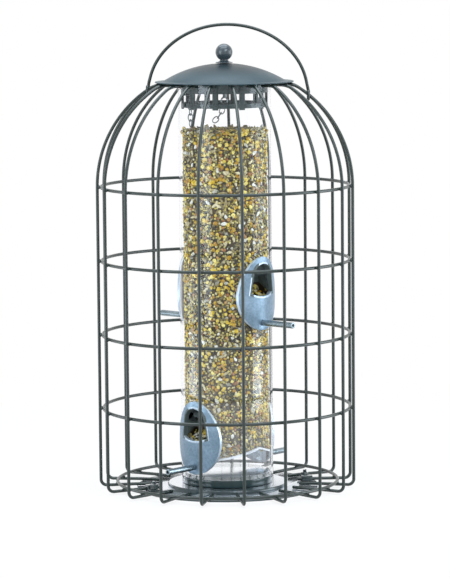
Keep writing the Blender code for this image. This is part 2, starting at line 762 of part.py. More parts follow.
def make_seed():
    """The seed in the tube, one plain mass with room for the four hoods."""
    top = SEED_TOP
    edge = BORE_RADIUS - CLEARANCE
    profile = [
        (0, top + SEED_MOUND),
        (edge / 2, top + SEED_MOUND / 2),
        (edge, top),
        (edge, TUBE_Z),
        (0, TUBE_Z),
    ]
    seed = turned("seed_fill", profile, 36, MIXED_SEED)
    here = turn_about_z(LOWER_PORT_ANGLES[1]) @ upright_prism()
    below = baffle_outline(CLEARANCE, BAFFLE_EDGE_HEIGHT + BAFFLE_RIDGE_RISE + OVERRUN)
    cut(seed, slab("seed_floor", below, 4 * BORE_RADIUS, MIXED_SEED, here))
    margin = HOOD_WALL + CLEARANCE
    near = HOOD_FACE - HOOD_DEPTH - CLEARANCE
    far = TUBE_RADIUS + OVERRUN
    for name, angle, height in port_places():
        cut(seed, mouth_prism(f"seed_{name}", margin, near, far, angle, height))
    smooth(as_mesh(seed))


# Lid


def make_lid():
    """A spun dome with a flat brim whose edge turns down on the cage wires."""
    start = math.acos(LID_HOLE_RADIUS / LID_DOME_SPHERE)
    end = math.acos(LID_DOME_RADIUS / LID_DOME_SPHERE)
    profile = arc((0, LID_SPHERE_Z), LID_DOME_SPHERE, start, end, 5)
    edge = (LID_RADIUS - LID_EDGE_RADIUS, LID_BRIM_TOP - LID_EDGE_RADIUS)
    profile += arc(edge, LID_EDGE_RADIUS, math.pi / 2, 0, 2)
    profile.append((LID_RADIUS, LID_SEAT_Z))
    return smooth(turned_sheet("lid_shell", profile, LID_GAUGE, 36, LID_PAINT))


def make_knob():
    """A ball on a flared foot, with a stud that goes down through the lid and the plug."""
    foot = LID_TOP + CLEARANCE
    ball = LID_TOP + KNOB_RISE
    neck = math.asin(KNOB_NECK_RADIUS / KNOB_RADIUS)
    profile = arc((0, ball), KNOB_RADIUS, math.pi / 2, neck - math.pi / 2, 9)
    profile[0] = (0, ball + KNOB_RADIUS)
    profile += [
        (KNOB_FOOT_RADIUS, foot + KNOB_FOOT_EDGE),
        (KNOB_FOOT_RADIUS, foot),
        (KNOB_STUD_RADIUS, foot),
        (KNOB_STUD_RADIUS, PLUG_UNDERSIDE - EYE_NUT_HEIGHT + EYE_NUT_FLOOR),
        (0, PLUG_UNDERSIDE - EYE_NUT_HEIGHT + EYE_NUT_FLOOR),
    ]
    return smooth(turned("lid_knob", profile, 18, KNOB_PAINT))


def make_plug():
    """A cup turned over, its wall opened by windows, with a slot that lets it pass the chain's hook."""
    under_lid = LID_DOME_SPHERE - LID_GAUGE - CLEARANCE
    boss_top = LID_SPHERE_Z + math.sqrt(under_lid**2 - PLUG_BOSS_RADIUS**2)
    foot = PLUG_TOP - PLUG_LENGTH
    inner = PLUG_RADIUS - PLUG_WALL
    profile = [
        (LID_HOLE_RADIUS, boss_top),
        (PLUG_BOSS_RADIUS, boss_top),
        (PLUG_BOSS_RADIUS, PLUG_TOP),
        (PLUG_RADIUS, PLUG_TOP),
        (PLUG_RADIUS, foot),
        (inner, foot),
        (inner, PLUG_UNDERSIDE),
        (LID_HOLE_RADIUS, PLUG_UNDERSIDE),
    ]
    plug = turned("lid_plug", profile, 30, GREEN_PLASTIC)
    gap = 2 * math.pi / PLUG_RIBS
    width = 2 * PLUG_RADIUS * math.sin(gap / 2) - PLUG_RIB_WIDTH
    high = PLUG_TOP - PLUG_WINDOW_TOP
    middle = PLUG_RADIUS - PLUG_WALL / 2
    for index in range(PLUG_RIBS):
        turn = turn_about_z(PLUG_RIB_ANGLE + gap / 2 + gap * index)
        cut(plug, block(f"window_{index}", middle, width, high - PLUG_WINDOW_HEIGHT, high, turn))
        cut(plug, block(f"notch_{index}", middle, width, foot - OVERRUN, foot + PLUG_TAB, turn))
    turn = turn_about_z(HOOK_ANGLE)
    cut(plug, block("hook_slot", middle, PLUG_SLOT_WIDTH, foot - OVERRUN, high - PLUG_TAB, turn))
    return smooth(as_mesh(plug))


def block(name, middle, width, low, high, turn):
    """A box across the plug's wall, at a distance from the axis."""
    mesh = bpy.data.meshes.new(name)
    edit = bmesh.new()
    size = Matrix.Diagonal((PLUG_WALL + OVERRUN, width, high - low, 1))
    centre = Matrix.Translation((middle, 0, (low + high) / 2))
    bmesh.ops.create_cube(edit, size=1, matrix=centre @ size)
    edit.to_mesh(mesh)
    edit.free()
    return place(mesh, name, turn)


def make_eye_nut():
    """A hexagon nut under the plug with a shank and an eye for the chain."""
    top = PLUG_UNDERSIDE - CLEARANCE
    foot = top - EYE_NUT_HEIGHT
    nut = rod("eye_nut", EYE_NUT_RADIUS, foot, top, CHAIN_METAL, 6)
    eye_z = foot - EYE_SHANK - EYE_RADIUS
    shank_top = foot + EYE_NUT_FLOOR / 2
    fuse(nut, rod("eye_shank", EYE_SHANK_RADIUS, eye_z + EYE_RADIUS, shank_top, CHAIN_METAL, 10))
    points = [(across, 0, up) for across, up in arc((0, 0), EYE_RADIUS, 0, 2 * math.pi, 12)[:-1]]
    lift = Matrix.Translation((0, 0, eye_z))
    eye = bent_wire("eye", points, EYE_WIRE_DIAMETER, CHAIN_METAL, True, lift)
    fuse(nut, as_mesh(eye))
    floor = foot + EYE_NUT_FLOOR - CLEARANCE
    cut(nut, rod("nut_bore", LID_HOLE_RADIUS, floor, top + OVERRUN, CHAIN_METAL, 12))
    as_mesh(nut)
    return eye_z - EYE_RADIUS


# Chain


def link_data():
    """A closed oval of wire, long side along Z."""
    half_width = (LINK_WIDTH - LINK_WIRE_DIAMETER) / 2
    straight = (LINK_LENGTH - LINK_WIDTH) / 2
    upper = arc((0, straight), half_width, 0, math.pi, 4)
    lower = arc((0, -straight), half_width, math.pi, 2 * math.pi, 4)
    points = [(across, 0, up) for across, up in upper + lower]
    return wire_data("chain_link", points, LINK_WIRE_DIAMETER, CHAIN_METAL, True)


def link_pitch():
    return LINK_LENGTH - 2 * LINK_WIRE_DIAMETER - CLEARANCE


def link_matrix(middle, along, turn):
    """Frame of a link: its long side along a direction, turned about it."""
    lean = Vector((0, 0, -1)).rotation_difference(along).to_matrix().to_4x4()
    return Matrix.Translation(middle) @ lean @ turn


def make_hook():
    """A wire through the tube's wall, bent down outside, with a hook inside for the first link."""
    bend = HOOK_BEND_RADIUS
    outside = TUBE_RADIUS + HOOK_WIRE_DIAMETER / 2 + CLEARANCE
    centre = (SIDE_CHAIN_RADIUS, HOOK_Z - bend)
    profile = [
        (outside, HOOK_Z - HOOK_TAIL),
        (outside, HOOK_Z - CLEARANCE),
        (outside - CLEARANCE, HOOK_Z),
    ]
    profile += arc(centre, bend, math.pi / 2, 7 * math.pi / 4, 7)
    points = [(radius, 0, height) for radius, height in profile]
    turn = turn_about_z(HOOK_ANGLE)
    bent_wire("tether_hook", points, HOOK_WIRE_DIAMETER, CHAIN_METAL, False, turn)
    return HOOK_Z - 2 * bend


def make_side_chain(hook_low):
    """The run that hangs from the hook down to the seed."""
    data = link_data()
    turn = turn_about_z(HOOK_ANGLE)
    inside = hook_low + HOOK_WIRE_DIAMETER / 2 + CLEARANCE
    first = inside + LINK_WIRE_DIAMETER - LINK_LENGTH / 2
    for index in range(SIDE_CHAIN_LINKS):
        height = first - link_pitch() * index
        quarter = turn_about_z(math.pi / 2 * ((index + 1) % 2))
        here = turn @ Matrix.Translation((SIDE_CHAIN_RADIUS, 0, height)) @ quarter
        place(data, f"side_chain_link_{index + 1}", here)


def make_lid_chain(eye_low):
    """The run that hangs from the eye nut and leans to the left as it meets the seed."""
    data = link_data()
    pitch = link_pitch()
    reach = LID_CHAIN_LINKS * pitch
    top = Vector((0, 0, eye_low + EYE_WIRE_DIAMETER / 2 + CLEARANCE + LINK_WIRE_DIAMETER / 2))
    lean = math.asin(LID_CHAIN_SWAY / reach) * 2 / (LID_CHAIN_LINKS + 1)
    for index in range(LID_CHAIN_LINKS):
        slope = lean * (index + 1)
        along = Vector((-math.sin(slope), 0, -math.cos(slope)))
        middle = top + along * (LINK_LENGTH - LINK_WIRE_DIAMETER) / 2
        quarter = turn_about_z(math.pi / 2 * ((index + 1) % 2))
        place(data, f"lid_chain_link_{index + 1}", link_matrix(middle, along, quarter))
        top = top + along * pitch


# Bail


def on_wire(index, radius):
    """The point of a cage wire's centreline at a radius on the dome."""
    return turn_about_z(wire_angle(index)) @ Vector((radius, 0, dome_height(radius)))


def bail_matrix():
    """Frame of the bail: X along the line through its two eyes, Z up, origin midway."""
    left = on_wire(BAIL_LEFT_WIRE, BAIL_LEFT_RADIUS)
    right = on_wire(BAIL_RIGHT_WIRE, BAIL_RIGHT_RADIUS)
    across = (right - left).normalized()
    back = Vector((0, 0, 1)).cross(across).normalized()
    up = across.cross(back)
    turn = Matrix((across, back, up)).transposed().to_4x4()
    return Matrix.Translation((left + right) / 2) @ turn, (right - left).length / 2


def make_bail():
    """Half an ellipse of wire whose legs step aside into an open eye round a cage wire."""
    here, half = bail_matrix()
    leg_turn = math.asin(BAIL_LEG / BAIL_RISE)
    eye = arc((0, 0), BAIL_EYE_RADIUS, BAIL_EYE_TURN, 0, 10)
    right = [(half, aside, -down) for aside, down in eye[:-1]]
    narrow = half - BAIL_NARROWING
    for step in range(4):
        turn = leg_turn * step / 4
        reach = half - BAIL_NARROWING * step / 4
        right.append((reach * math.cos(turn), leg_aside(turn), BAIL_RISE * math.sin(turn)))
    bow = arc((0, 0), 1, leg_turn, math.pi - leg_turn, 20)
    middle = [(narrow * across, 0, BAIL_RISE * up) for across, up in bow]
    left = [(-across, aside, up) for across, aside, up in reversed(right)]
    bent_wire("bail", right + middle + left, WIRE_DIAMETER, POWDER_COAT, False, here)


def leg_aside(turn):
    """How far a leg of the bail stands beside its plane, all of the eye's radius at the foot."""
    share = BAIL_RISE * math.sin(turn) / BAIL_LEG
    return BAIL_EYE_RADIUS * (1 + math.cos(math.pi * share)) / 2


make_cage()
make_base_plate()
make_clamps()
make_base_cap()
make_tube()
make_ports()
make_perches()
make_baffle()
make_seed()
make_lid()
make_knob()
make_plug()
make_lid_chain(make_eye_nut())
make_side_chain(make_hook())
make_bail()
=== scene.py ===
"""The look of the caged seed bird feeder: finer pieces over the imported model, finishes, light and camera.

Metres, +Z up, the front is -Y. Sizes that a piece shares with the solids are the solids' own.
"""

import json
import math
import random
from collections import namedtuple

import bmesh
import bpy
import numpy as np
from mathutils import Matrix, Vector, noise


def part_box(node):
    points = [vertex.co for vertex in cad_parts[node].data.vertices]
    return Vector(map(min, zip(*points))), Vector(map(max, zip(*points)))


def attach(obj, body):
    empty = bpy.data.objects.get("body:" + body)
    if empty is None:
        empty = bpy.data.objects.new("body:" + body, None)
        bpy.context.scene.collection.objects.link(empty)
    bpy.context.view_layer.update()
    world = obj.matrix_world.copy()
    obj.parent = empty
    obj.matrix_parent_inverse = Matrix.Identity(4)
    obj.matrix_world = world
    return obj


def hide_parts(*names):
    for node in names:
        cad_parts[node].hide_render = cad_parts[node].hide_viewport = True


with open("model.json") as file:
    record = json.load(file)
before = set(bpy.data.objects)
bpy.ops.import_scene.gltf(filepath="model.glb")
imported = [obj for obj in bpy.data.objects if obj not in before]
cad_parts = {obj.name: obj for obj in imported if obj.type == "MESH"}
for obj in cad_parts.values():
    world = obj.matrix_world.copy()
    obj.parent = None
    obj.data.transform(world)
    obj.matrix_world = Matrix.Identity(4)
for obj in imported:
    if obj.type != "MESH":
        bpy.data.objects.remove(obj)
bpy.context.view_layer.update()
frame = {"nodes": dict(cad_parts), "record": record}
NODES = frame["nodes"]
SLOTS = {part["node"]: part["material_slot"] for part in frame["record"]["subparts"]}

# The cage, as in the solids
WIRE_DIAMETER = 0.0027
GAP = 0.0003
CAGE_RADIUS = 0.107
CAGE_WIRES = 19
FIRST_WIRE_ANGLE = math.radians(12)
FOOT_END_RADIUS = 0.0605
PLATE_RADIUS = 0.0769
PLATE_TOP = 0.0017
FOOT_BEND_RADIUS = 0.005
FOOT_DROOP = 0.0006
FOOT_RING_RADIUS = 0.0929
SHOULDER_ARC_RADIUS = 0.0977
CROWN_START_RADIUS = 0.063
CROWN_END_RADIUS = 0.052
WIRE_TIP_RADIUS = 0.0438
TOP_RING_RADIUS = 0.0452
RING_RADIUS = CAGE_RADIUS - WIRE_DIAMETER - GAP

# Bail, as in the solids
BAIL_RISE = 0.0562
BAIL_NARROWING = 0.0008
BAIL_ENDS = ((9, 0.064), (18, 0.0705))
BAIL_EYE_RADIUS = 0.0039
BAIL_EYE_TURN = math.radians(235)
BAIL_LEG = 0.009

# Lid and knob, as in the solids
LID_RADIUS = 0.058
LID_GAUGE = 0.0009
LID_DOME_RADIUS = 0.0504
LID_DOME_SPHERE = 0.097
LID_DOME_STEP = 0.0008
LID_STEP_BEND = 0.0009
LID_STEP_WIDTH = 0.0022
LID_STEP_UNDER = 0.001
LID_HOLE_RADIUS = 0.0023
KNOB_RADIUS = 0.00715
KNOB_RISE = 0.0092
KNOB_NECK_RADIUS = 0.0034
KNOB_FOOT_RADIUS = 0.0071
KNOB_FOOT_EDGE = 0.0006
KNOB_FLARE = 2.2
KNOB_FALL = 0.9
KNOB_STUD_RADIUS = 0.002

# Tube, ports and perches, as in the solids
TUBE_RADIUS = 0.03875
TUBE_WALL = 0.0022
BORE_RADIUS = TUBE_RADIUS - TUBE_WALL
FLANGE_GAUGE = 0.0024
FLANGE_FACE = TUBE_RADIUS + GAP + FLANGE_GAUGE
PERCH_RADIUS = 0.0025
PERCH_TIP_RADIUS = 0.0743
PERCH_BORE_RADIUS = 0.0013
PERCH_BORE_DEPTH = 0.004
PERCH_EDGE = 0.0004
PERCH_SPIGOT_RADIUS = 0.0016
PERCH_SPIGOT_LENGTH = 0.0018
MOUTH_HALF_WIDTH = 0.013
MOUTH_TOP = 0.025
MOUTH_SILL = 0.0005
MOUTH_SCOOP = 0.003
MOUTH_CORNER = 0.0025
PORT_TURNS = {
    "lower_front": math.radians(-132),
    "lower_back": math.radians(48),
    "upper_front": math.radians(-42),
    "upper_back": math.radians(138),
}

# The marks on a port's faces: painted shade in its throat, painted light on its other faces inside the tube,
# and painted highlights on its edges. A mouth's walls and throat: how far above the sill they start, and how
# far beyond the outline they reach. Its flange: the depth of the corner, the rise of the rim, and how bright
# the painted highlights on the corner, the other side faces and the rim are.
MARKS = ("throat", "sheltered", "rubbed")
MOUTH_WALLS = (0.0004, 0.0002)
MOUTH_THROAT = (0.0012, -0.0008)
FLANGE_CORNER = 0.0006
RIM_RISE = 0.0004
CORNER_HIGHLIGHT = 0.9
SIDE_HIGHLIGHT = 0.6
RIM_HIGHLIGHT = 0.4

# Smoothness of the shapes: sides of a round wire, and the angle in degrees from which an edge is sharp
WIRE_SIDES = 12
RING_STEPS = 120
TURNED_ANGLE = 38
WIRE_ANGLE = 50
SOLID_ANGLE = 35
CHAIN_ANGLE = 60

# The finishes' noises, as cells in a metre
DRIFT = 38
TINT = 45
DUST = 60
SEED_PATCH = 62
CLOUD = 70
SHEEN = 120
MOULDED_SHEEN = 160
# The next mottles the painted shade in the ports' throats
THROAT_SHADE = 300
WIRE_TONE = 300
FLOW = 420
SEED_BED = 500
MOTTLE = 520
PEEL = 900
WIRE_SHEEN = 900
CAST_GRAIN = 1100
HUSK_SPOTS = 1100
SPARK_GRAIN = 1800
HUSK_GRAIN = 2200

# Where the finishes change
DUST_TOP = 0.135
# The lid's painted shade reaches this far from its middle
KNOB_SHADE_RADIUS = 0.042


def middle_height(node):
    low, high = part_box(node)
    return (low.z + high.z) / 2


RING_HEIGHTS = [middle_height(f"cage_ring_{number}") for number in (1, 2, 3, 4)]
FOOT_RING_Z = middle_height("cage_foot_ring")
FOOT_Z = PLATE_TOP + GAP + WIRE_DIAMETER / 2
SHOULDER_Z = RING_HEIGHTS[-1]
SHOULDER_CENTRE = CAGE_RADIUS - SHOULDER_ARC_RADIUS
SHOULDER_TURN = math.acos((CROWN_START_RADIUS - SHOULDER_CENTRE) / SHOULDER_ARC_RADIUS)
CROWN_ARC_RADIUS = (CROWN_START_RADIUS - CROWN_END_RADIUS) / math.cos(SHOULDER_TURN)
CROWN_CENTRE_Z = SHOULDER_Z + (SHOULDER_ARC_RADIUS - CROWN_ARC_RADIUS) * math.sin(SHOULDER_TURN)
CROWN_Z = CROWN_CENTRE_Z + CROWN_ARC_RADIUS


# Shader maths


class Number:
    """A number socket of a finish. Python's operators on it add Math nodes."""

    def __init__(self, finish, socket):
        self.finish = finish
        self.socket = socket

    def maths(self, operation, *values):
        inputs = dict(enumerate(values))
        return self.finish.node("ShaderNodeMath", {"operation": operation}, inputs).number()

    def __add__(self, other):
        return self.maths("ADD", self, other)

    def __sub__(self, other):
        return self.maths("SUBTRACT", self, other)

    def __rsub__(self, other):
        return self.maths("SUBTRACT", other, self)

    def __mul__(self, other):
        return self.maths("MULTIPLY", self, other)

    def __truediv__(self, other):
        return self.maths("DIVIDE", self, other)

    def __pow__(self, other):
        return self.maths("POWER", self, other)

    __radd__ = __add__
    __rmul__ = __mul__

    def at_most(self, other):
        return self.maths("MINIMUM", self, other)

    def at_least(self, other):
        return self.maths("MAXIMUM", self, other)

    def within(self, low=0, high=1):
        return self.at_least(low).at_most(high)


class Made:
    """A node that was added to a finish, and its outputs."""

    def __init__(self, finish, node):
        self.finish = finish
        self.node = node

    def out(self, name=0):
        return self.node.outputs[name]

    def number(self, name=0):
        return Number(self.finish, self.out(name))


class Finish:
    """A material, or the world, built up node by node."""

    def __init__(self, name, datablocks=bpy.data.materials):
        self.owner = datablocks.new(name)
        self.owner.use_nodes = True
        self.tree = self.owner.node_tree
        self.tree.nodes.clear()

    def node(self, kind, settings=None, inputs=None):
        made = self.tree.nodes.new(kind)
        for setting, value in (settings or {}).items():
            if setting == "stops":
                self.set_stops(made.color_ramp, value)
            else:
                setattr(made, setting, value)
        for name, value in (inputs or {}).items():
            self.feed(made.inputs[name], value)
        return Made(self, made)

    def set_stops(self, ramp, stops):
        while len(ramp.elements) < len(stops):
            ramp.elements.new(1)
        for element, (position, colour) in zip(ramp.elements, stops):
            element.position = position
            element.color = (*colour, 1)

    def feed(self, socket, value):
        if isinstance(value, Made):
            value = value.out()
        if isinstance(value, Number):
            value = value.socket
        if isinstance(value, bpy.types.NodeSocket):
            self.tree.links.new(value, socket)
        else:
            socket.default_value = value

    def place(self):
        """Object coordinates, in metres."""
        return self.node("ShaderNodeTexCoord").out("Object")

    def axes(self):
        """The three object coordinates as numbers."""
        split = self.node("ShaderNodeSeparateXYZ", None, {0: self.place()})
        return [split.number(axis) for axis in ("X", "Y", "Z")]

    def reach(self):
        """Distance from the object's Z axis."""
        x, y, _ = self.axes()
        return (x * x + y * y) ** 0.5

    def noise(self, scale, detail=2.0, roughness=0.5, vector=None):
        inputs = {"Scale": scale, "Detail": detail, "Roughness": roughness}
        inputs["Vector"] = vector or self.place()
        return self.node("ShaderNodeTexNoise", None, inputs).number("Fac")

    def attribute(self, name):
        return self.node("ShaderNodeAttribute", {"attribute_name": name}).number("Fac")

    def geometry(self, name):
        return self.node("ShaderNodeNewGeometry").number(name)

    def grazing(self):
        """None where the surface is seen face on, one where it is seen edge on."""
        return self.node("ShaderNodeLayerWeight", None, {"Blend": 0.5}).number("Facing")

    def seen_directly(self):
        """One for a ray from the camera, off a gloss or through something clear, otherwise none."""
        ray = self.node("ShaderNodeLightPath")
        seen = ray.number("Is Camera Ray").at_least(ray.number("Is Glossy Ray"))
        return seen.at_least(ray.number("Is Transmission Ray"))

    def blend(self, factor, first, second):
        """One colour mixed with another."""
        made = self.node("ShaderNodeMix", {"data_type": "RGBA"})
        sockets = {"Factor_Float": factor, "A_Color": first, "B_Color": second}
        for socket in made.node.inputs:
            if socket.identifier in sockets:
                value = sockets[socket.identifier]
                self.feed(socket, (*value, 1) if isinstance(value, tuple) else value)
        return next(socket for socket in made.node.outputs if socket.identifier == "Result_Color")

    def bump(self, height, distance):
        inputs = {"Height": height, "Distance": distance, "Strength": 1}
        return self.node("ShaderNodeBump", None, inputs).out()

    def surface(self, **sockets):
        """The finish's main shader. Names are the sockets' own, with underscores for spaces."""
        inputs = {name.replace("_", " "): value for name, value in sockets.items()}
        colour = inputs.get("Base Color")
        if isinstance(colour, tuple):
            inputs["Base Color"] = (*colour, 1)
        return self.node("ShaderNodeBsdfPrincipled", None, inputs)

    def mix(self, share, first, second):
        """One shader mixed with another."""
        return self.node("ShaderNodeMixShader", None, {0: share, 1: first, 2: second})

    def done(self, shader, output="ShaderNodeOutputMaterial"):
        self.node(output, None, {"Surface": shader})
        return self.owner


def shade(colour, share):
    """A colour made darker or lighter."""
    return tuple(part * share for part in colour)


# Finishes


def painted(name, colour, roughness, peel=0.00002, drift=0.10, coat=0.0, specular=0.5, shade_radius=0.0):
    """Sprayed paint or powder: a slight orange peel and a colour that drifts a little.

    Painted shade darkens it within the given distance of the piece's middle.
    """
    finish = Finish(name)
    drifting = finish.noise(DRIFT, 3)
    ground = finish.blend(drifting, shade(colour, 1 - 1.8 * drift), shade(colour, 1 + 2.2 * drift))
    if shade_radius:
        # Painted shade: the colour darkens towards the piece's middle
        clean = (finish.reach() / shade_radius).at_most(1) ** 2.2
        ground = finish.blend(clean, shade(colour, 0.25), ground)
    rough = roughness * (0.75 + finish.noise(SHEEN, 3) * 0.5)
    normal = finish.bump(finish.noise(PEEL, 2), peel)
    shader = finish.surface(
        Base_Color=ground, Roughness=rough, Normal=normal, Specular_IOR_Level=specular,
        Coat_Weight=coat, Coat_Roughness=0.18,
    )
    return finish.done(shader)


def glazed(name, colour, mirror):
    """Very glossy paint: dark face on, and a mirror of the room where the view grazes it."""
    finish = Finish(name)
    shine = ((finish.grazing() - 0.55) * 3.6).within()
    drifting = finish.noise(DRIFT, 3)
    ground = finish.blend(drifting, shade(colour, 0.8), shade(colour, 1.25))
    ground = finish.blend(shine, ground, mirror)
    rough = 0.10 + drifting * 0.12
    normal = finish.bump(finish.noise(PEEL, 2), 0.000006)
    return finish.done(finish.surface(Base_Color=ground, Roughness=rough, Metallic=shine, Normal=normal))


def cast_metal(name, dark, light, roughness, metallic, port=False):
    """Zinc as cast and tumbled: cloudy, mottled tone, fine grain and faint flow lines.

    On a port the edges get painted highlights, the throat gets painted shade, and the part inside the tube
    gets painted light.
    """
    finish = Finish(name)
    cloud = finish.noise(CLOUD, 4, 0.6)
    stretch = {"Vector": finish.place(), "Scale": (1, 1, 0.12)}
    flow = finish.noise(FLOW, 2, 0.5, finish.node("ShaderNodeMapping", None, stretch).out())
    mottle = finish.noise(MOTTLE, 3, 0.6)
    tone = (cloud * 1.4 + flow * 0.16 + mottle * 1.3 - 0.95).within()
    ground = finish.blend(tone, dark, light)
    rough = roughness + (cloud - 0.5) * 0.16
    shine = metallic + (cloud - 0.5) * 0.1
    if port:
        # Painted highlight: the port's edges are lightened
        ground = finish.blend(finish.attribute("rubbed"), ground, (0.72, 0.80, 0.88))
        # Painted light: the faces inside the tube are made pale and less metallic
        bright = finish.attribute("sheltered")
        ground = finish.blend(bright, ground, (0.78, 0.84, 0.96))
        # Painted shade in the throat: darker, rougher and less metallic
        deep = finish.attribute("throat")
        throat_shade = finish.blend(finish.noise(THROAT_SHADE, 3), (0.052, 0.072, 0.070), (0.110, 0.135, 0.128))
        ground = finish.blend(deep, ground, throat_shade)
        shine = shine * (1 - deep) * (1 - bright)
        rough = rough + deep * 0.3
    normal = finish.bump(finish.noise(CAST_GRAIN, 3) * 0.8 + flow * 0.2, 0.00005)
    return finish.done(finish.surface(Base_Color=ground, Roughness=rough, Metallic=shine, Normal=normal))


def drawn_wire(name, colour, roughness):
    """Bare drawn wire, dulled by weather."""
    finish = Finish(name)
    ground = finish.blend(finish.noise(WIRE_TONE, 3), shade(colour, 0.7), shade(colour, 1.4))
    rough = roughness + (finish.noise(WIRE_SHEEN, 2) - 0.5) * 0.25
    return finish.done(finish.surface(Base_Color=ground, Roughness=rough, Metallic=0.85))


def moulded(name, colour, roughness):
    """Moulded plastic with a fine spark grain."""
    finish = Finish(name)
    ground = finish.blend(finish.noise(TINT, 3), shade(colour, 0.8), shade(colour, 1.3))
    normal = finish.bump(finish.noise(SPARK_GRAIN, 2), 0.00003)
    rough = roughness + (finish.noise(MOULDED_SHEEN, 2) - 0.5) * 0.15
    return finish.done(finish.surface(Base_Color=ground, Roughness=rough, Normal=normal))


def clear_wall(name, tint, face_on, edge_on, dusty=0.0, metallic=1.0):
    """Thin clear plastic: light goes straight through, and more of it turns to gloss as the view grazes.

    Fine seed dust clings to the lower part of a dusty wall, and its bore is wiped clean by the seed.
    """
    finish = Finish(name)
    grazing = finish.grazing()
    dust = finish.noise(DUST, 4, 0.65)
    rim = ((grazing - 0.62) * 6).within()
    share = face_on * (0.5 + dust) + edge_on * grazing**4 + 0.5 * rim
    if dusty:
        _, _, up = finish.axes()
        low = ((DUST_TOP - up) / DUST_TOP).within()
        outer = ((finish.reach() - BORE_RADIUS) * 2000).within(0.1)
        share = (share + low * dusty * (0.4 + dust * 1.2)) * outer
    share = (share * (1 - finish.geometry("Backfacing"))).at_most(0.92)
    gloss = finish.surface(Base_Color=tint, Roughness=0.05 + dust * 0.1, Metallic=metallic)
    through = finish.node("ShaderNodeBsdfTransparent", None, {"Color": (0.996, 0.998, 1.0, 1)})
    return finish.done(finish.mix(share, through, gloss))


def grain_finish(name, tones, roughness):
    """Dry seed: each grain has a tone of its own, and the mix drifts from patch to patch."""
    finish = Finish(name)
    each = finish.geometry("Random Per Island")
    spots = finish.noise(HUSK_SPOTS, 3)
    patch = (finish.noise(SEED_PATCH, 2) - 0.5) * 1.5
    tone = (each * 0.86 + spots * 0.1 + patch * 0.3).within()
    stops = list(zip((0.12, 0.5, 0.88), tones))
    ramp = finish.node("ShaderNodeValToRGB", {"stops": stops}, {"Fac": tone}).out("Color")
    worn = ((spots - 0.52) * 5).within(0, 0.7)
    ground = finish.blend(worn, ramp, shade(tones[0], 0.30))
    normal = finish.bump(finish.noise(HUSK_GRAIN, 2), 0.0001)
    rough = roughness + (each - 0.5) * 0.3
    return finish.done(finish.surface(Base_Color=ground, Roughness=rough, Normal=normal))


def seed_bed():
    """The shadowy mass behind the loose grains."""
    finish = Finish("seed bed")
    ground = finish.blend(finish.noise(SEED_BED, 4), (0.02, 0.014, 0.008), (0.10, 0.065, 0.03))
    return finish.done(finish.surface(Base_Color=ground, Roughness=0.9))


POWDER_COAT = painted("smooth powder coat", (0.012, 0.022, 0.019), 0.34, coat=0.45, specular=0.35)
# The lid paint carries painted shade round the knob
LID_PAINT = painted(
    "blue grey lid paint", (0.032, 0.058, 0.070), 0.36,
    peel=0.000012, drift=0.07, specular=0.22, shade_radius=KNOB_SHADE_RADIUS,
)
KNOB_PAINT = painted(
    "dark knob paint", (0.050, 0.068, 0.078), 0.26,
    peel=0.000012, drift=0.07, coat=0.6, specular=0.3,
)
PLATE_PAINT = glazed("glossy plate paint", (0.028, 0.045, 0.050), mirror=(0.80, 0.84, 0.90))
CAP_PLASTIC = glazed("glossy green cap", (0.012, 0.033, 0.035), mirror=(0.90, 0.93, 0.96))
CLAMP_PAINT = painted("glossy clamp paint", (0.050, 0.066, 0.066), 0.16, coat=1.0)
GREEN_PLASTIC = moulded("moulded green plastic", (0.012, 0.030, 0.031), 0.36)
CLEAR_TUBE = clear_wall("clear tube", (0.96, 0.97, 1.0), face_on=0.030, edge_on=0.22, dusty=0.20)
CLEAR_BAFFLE = clear_wall("milky baffle", (0.92, 0.94, 1.0), face_on=0.80, edge_on=0.20, metallic=0.0)
CAST_ZINC = cast_metal("cast zinc", (0.125, 0.195, 0.25), (0.29, 0.40, 0.52), 0.32, 0.45, port=True)
PERCH_METAL = cast_metal("perch metal", (0.13, 0.17, 0.19), (0.32, 0.38, 0.41), 0.28, 0.85)
CHAIN_METAL = drawn_wire("chain metal", (0.20, 0.23, 0.24), 0.34)

SLOT_FINISHES = {
    "powder_coat": POWDER_COAT,
    "lid_paint": LID_PAINT,
    "knob_paint": KNOB_PAINT,
    "plate_paint": PLATE_PAINT,
    "green_plastic": GREEN_PLASTIC,
    "clear_plastic": CLEAR_TUBE,
    "cast_zinc": CAST_ZINC,
    "perch_metal": PERCH_METAL,
    "chain_metal": CHAIN_METAL,
}


# Makers of shapes


def arc(centre, radius, start, end, steps):
    """Points on an arc from the start angle to the end angle, both ends included."""
    turn = (end - start) / steps
    turns = [start + turn * step for step in range(steps + 1)]
    return [(centre[0] + radius * math.cos(t), centre[1] + radius * math.sin(t)) for t in turns]


def circle(radius, height, steps):
    return [(x, y, height) for x, y in arc((0, 0), radius, 0, 2 * math.pi, steps)[:-1]]


def turn_about_z(angle):
    return Matrix.Rotation(angle, 4, "Z")


def dress(piece, finish, body, replaced=(), matrix=None):
    """Puts a piece in the scene, on its body and over the nodes that it stands for."""
    if matrix is not None:
        piece.data.transform(matrix)
    bpy.context.scene.collection.objects.link(piece)
    piece.data.materials.clear()
    piece.data.materials.append(finish)
    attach(piece, body)
    if replaced:
        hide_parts(*replaced)


def smooth(mesh, angle):
    mesh.shade_smooth()
    mesh.set_sharp_from_angle(angle=math.radians(angle))


def meshed(name, vertices, faces, angle):
    """An object from points and faces, its faces turned outward."""
    mesh = bpy.data.meshes.new(name)
    mesh.from_pydata(vertices, [], faces)
    edit = bmesh.new()
    edit.from_mesh(mesh)
    bmesh.ops.recalc_face_normals(edit, faces=edit.faces)
    edit.to_mesh(mesh)
    edit.free()
    smooth(mesh, angle)
    return bpy.data.objects.new(name, mesh)


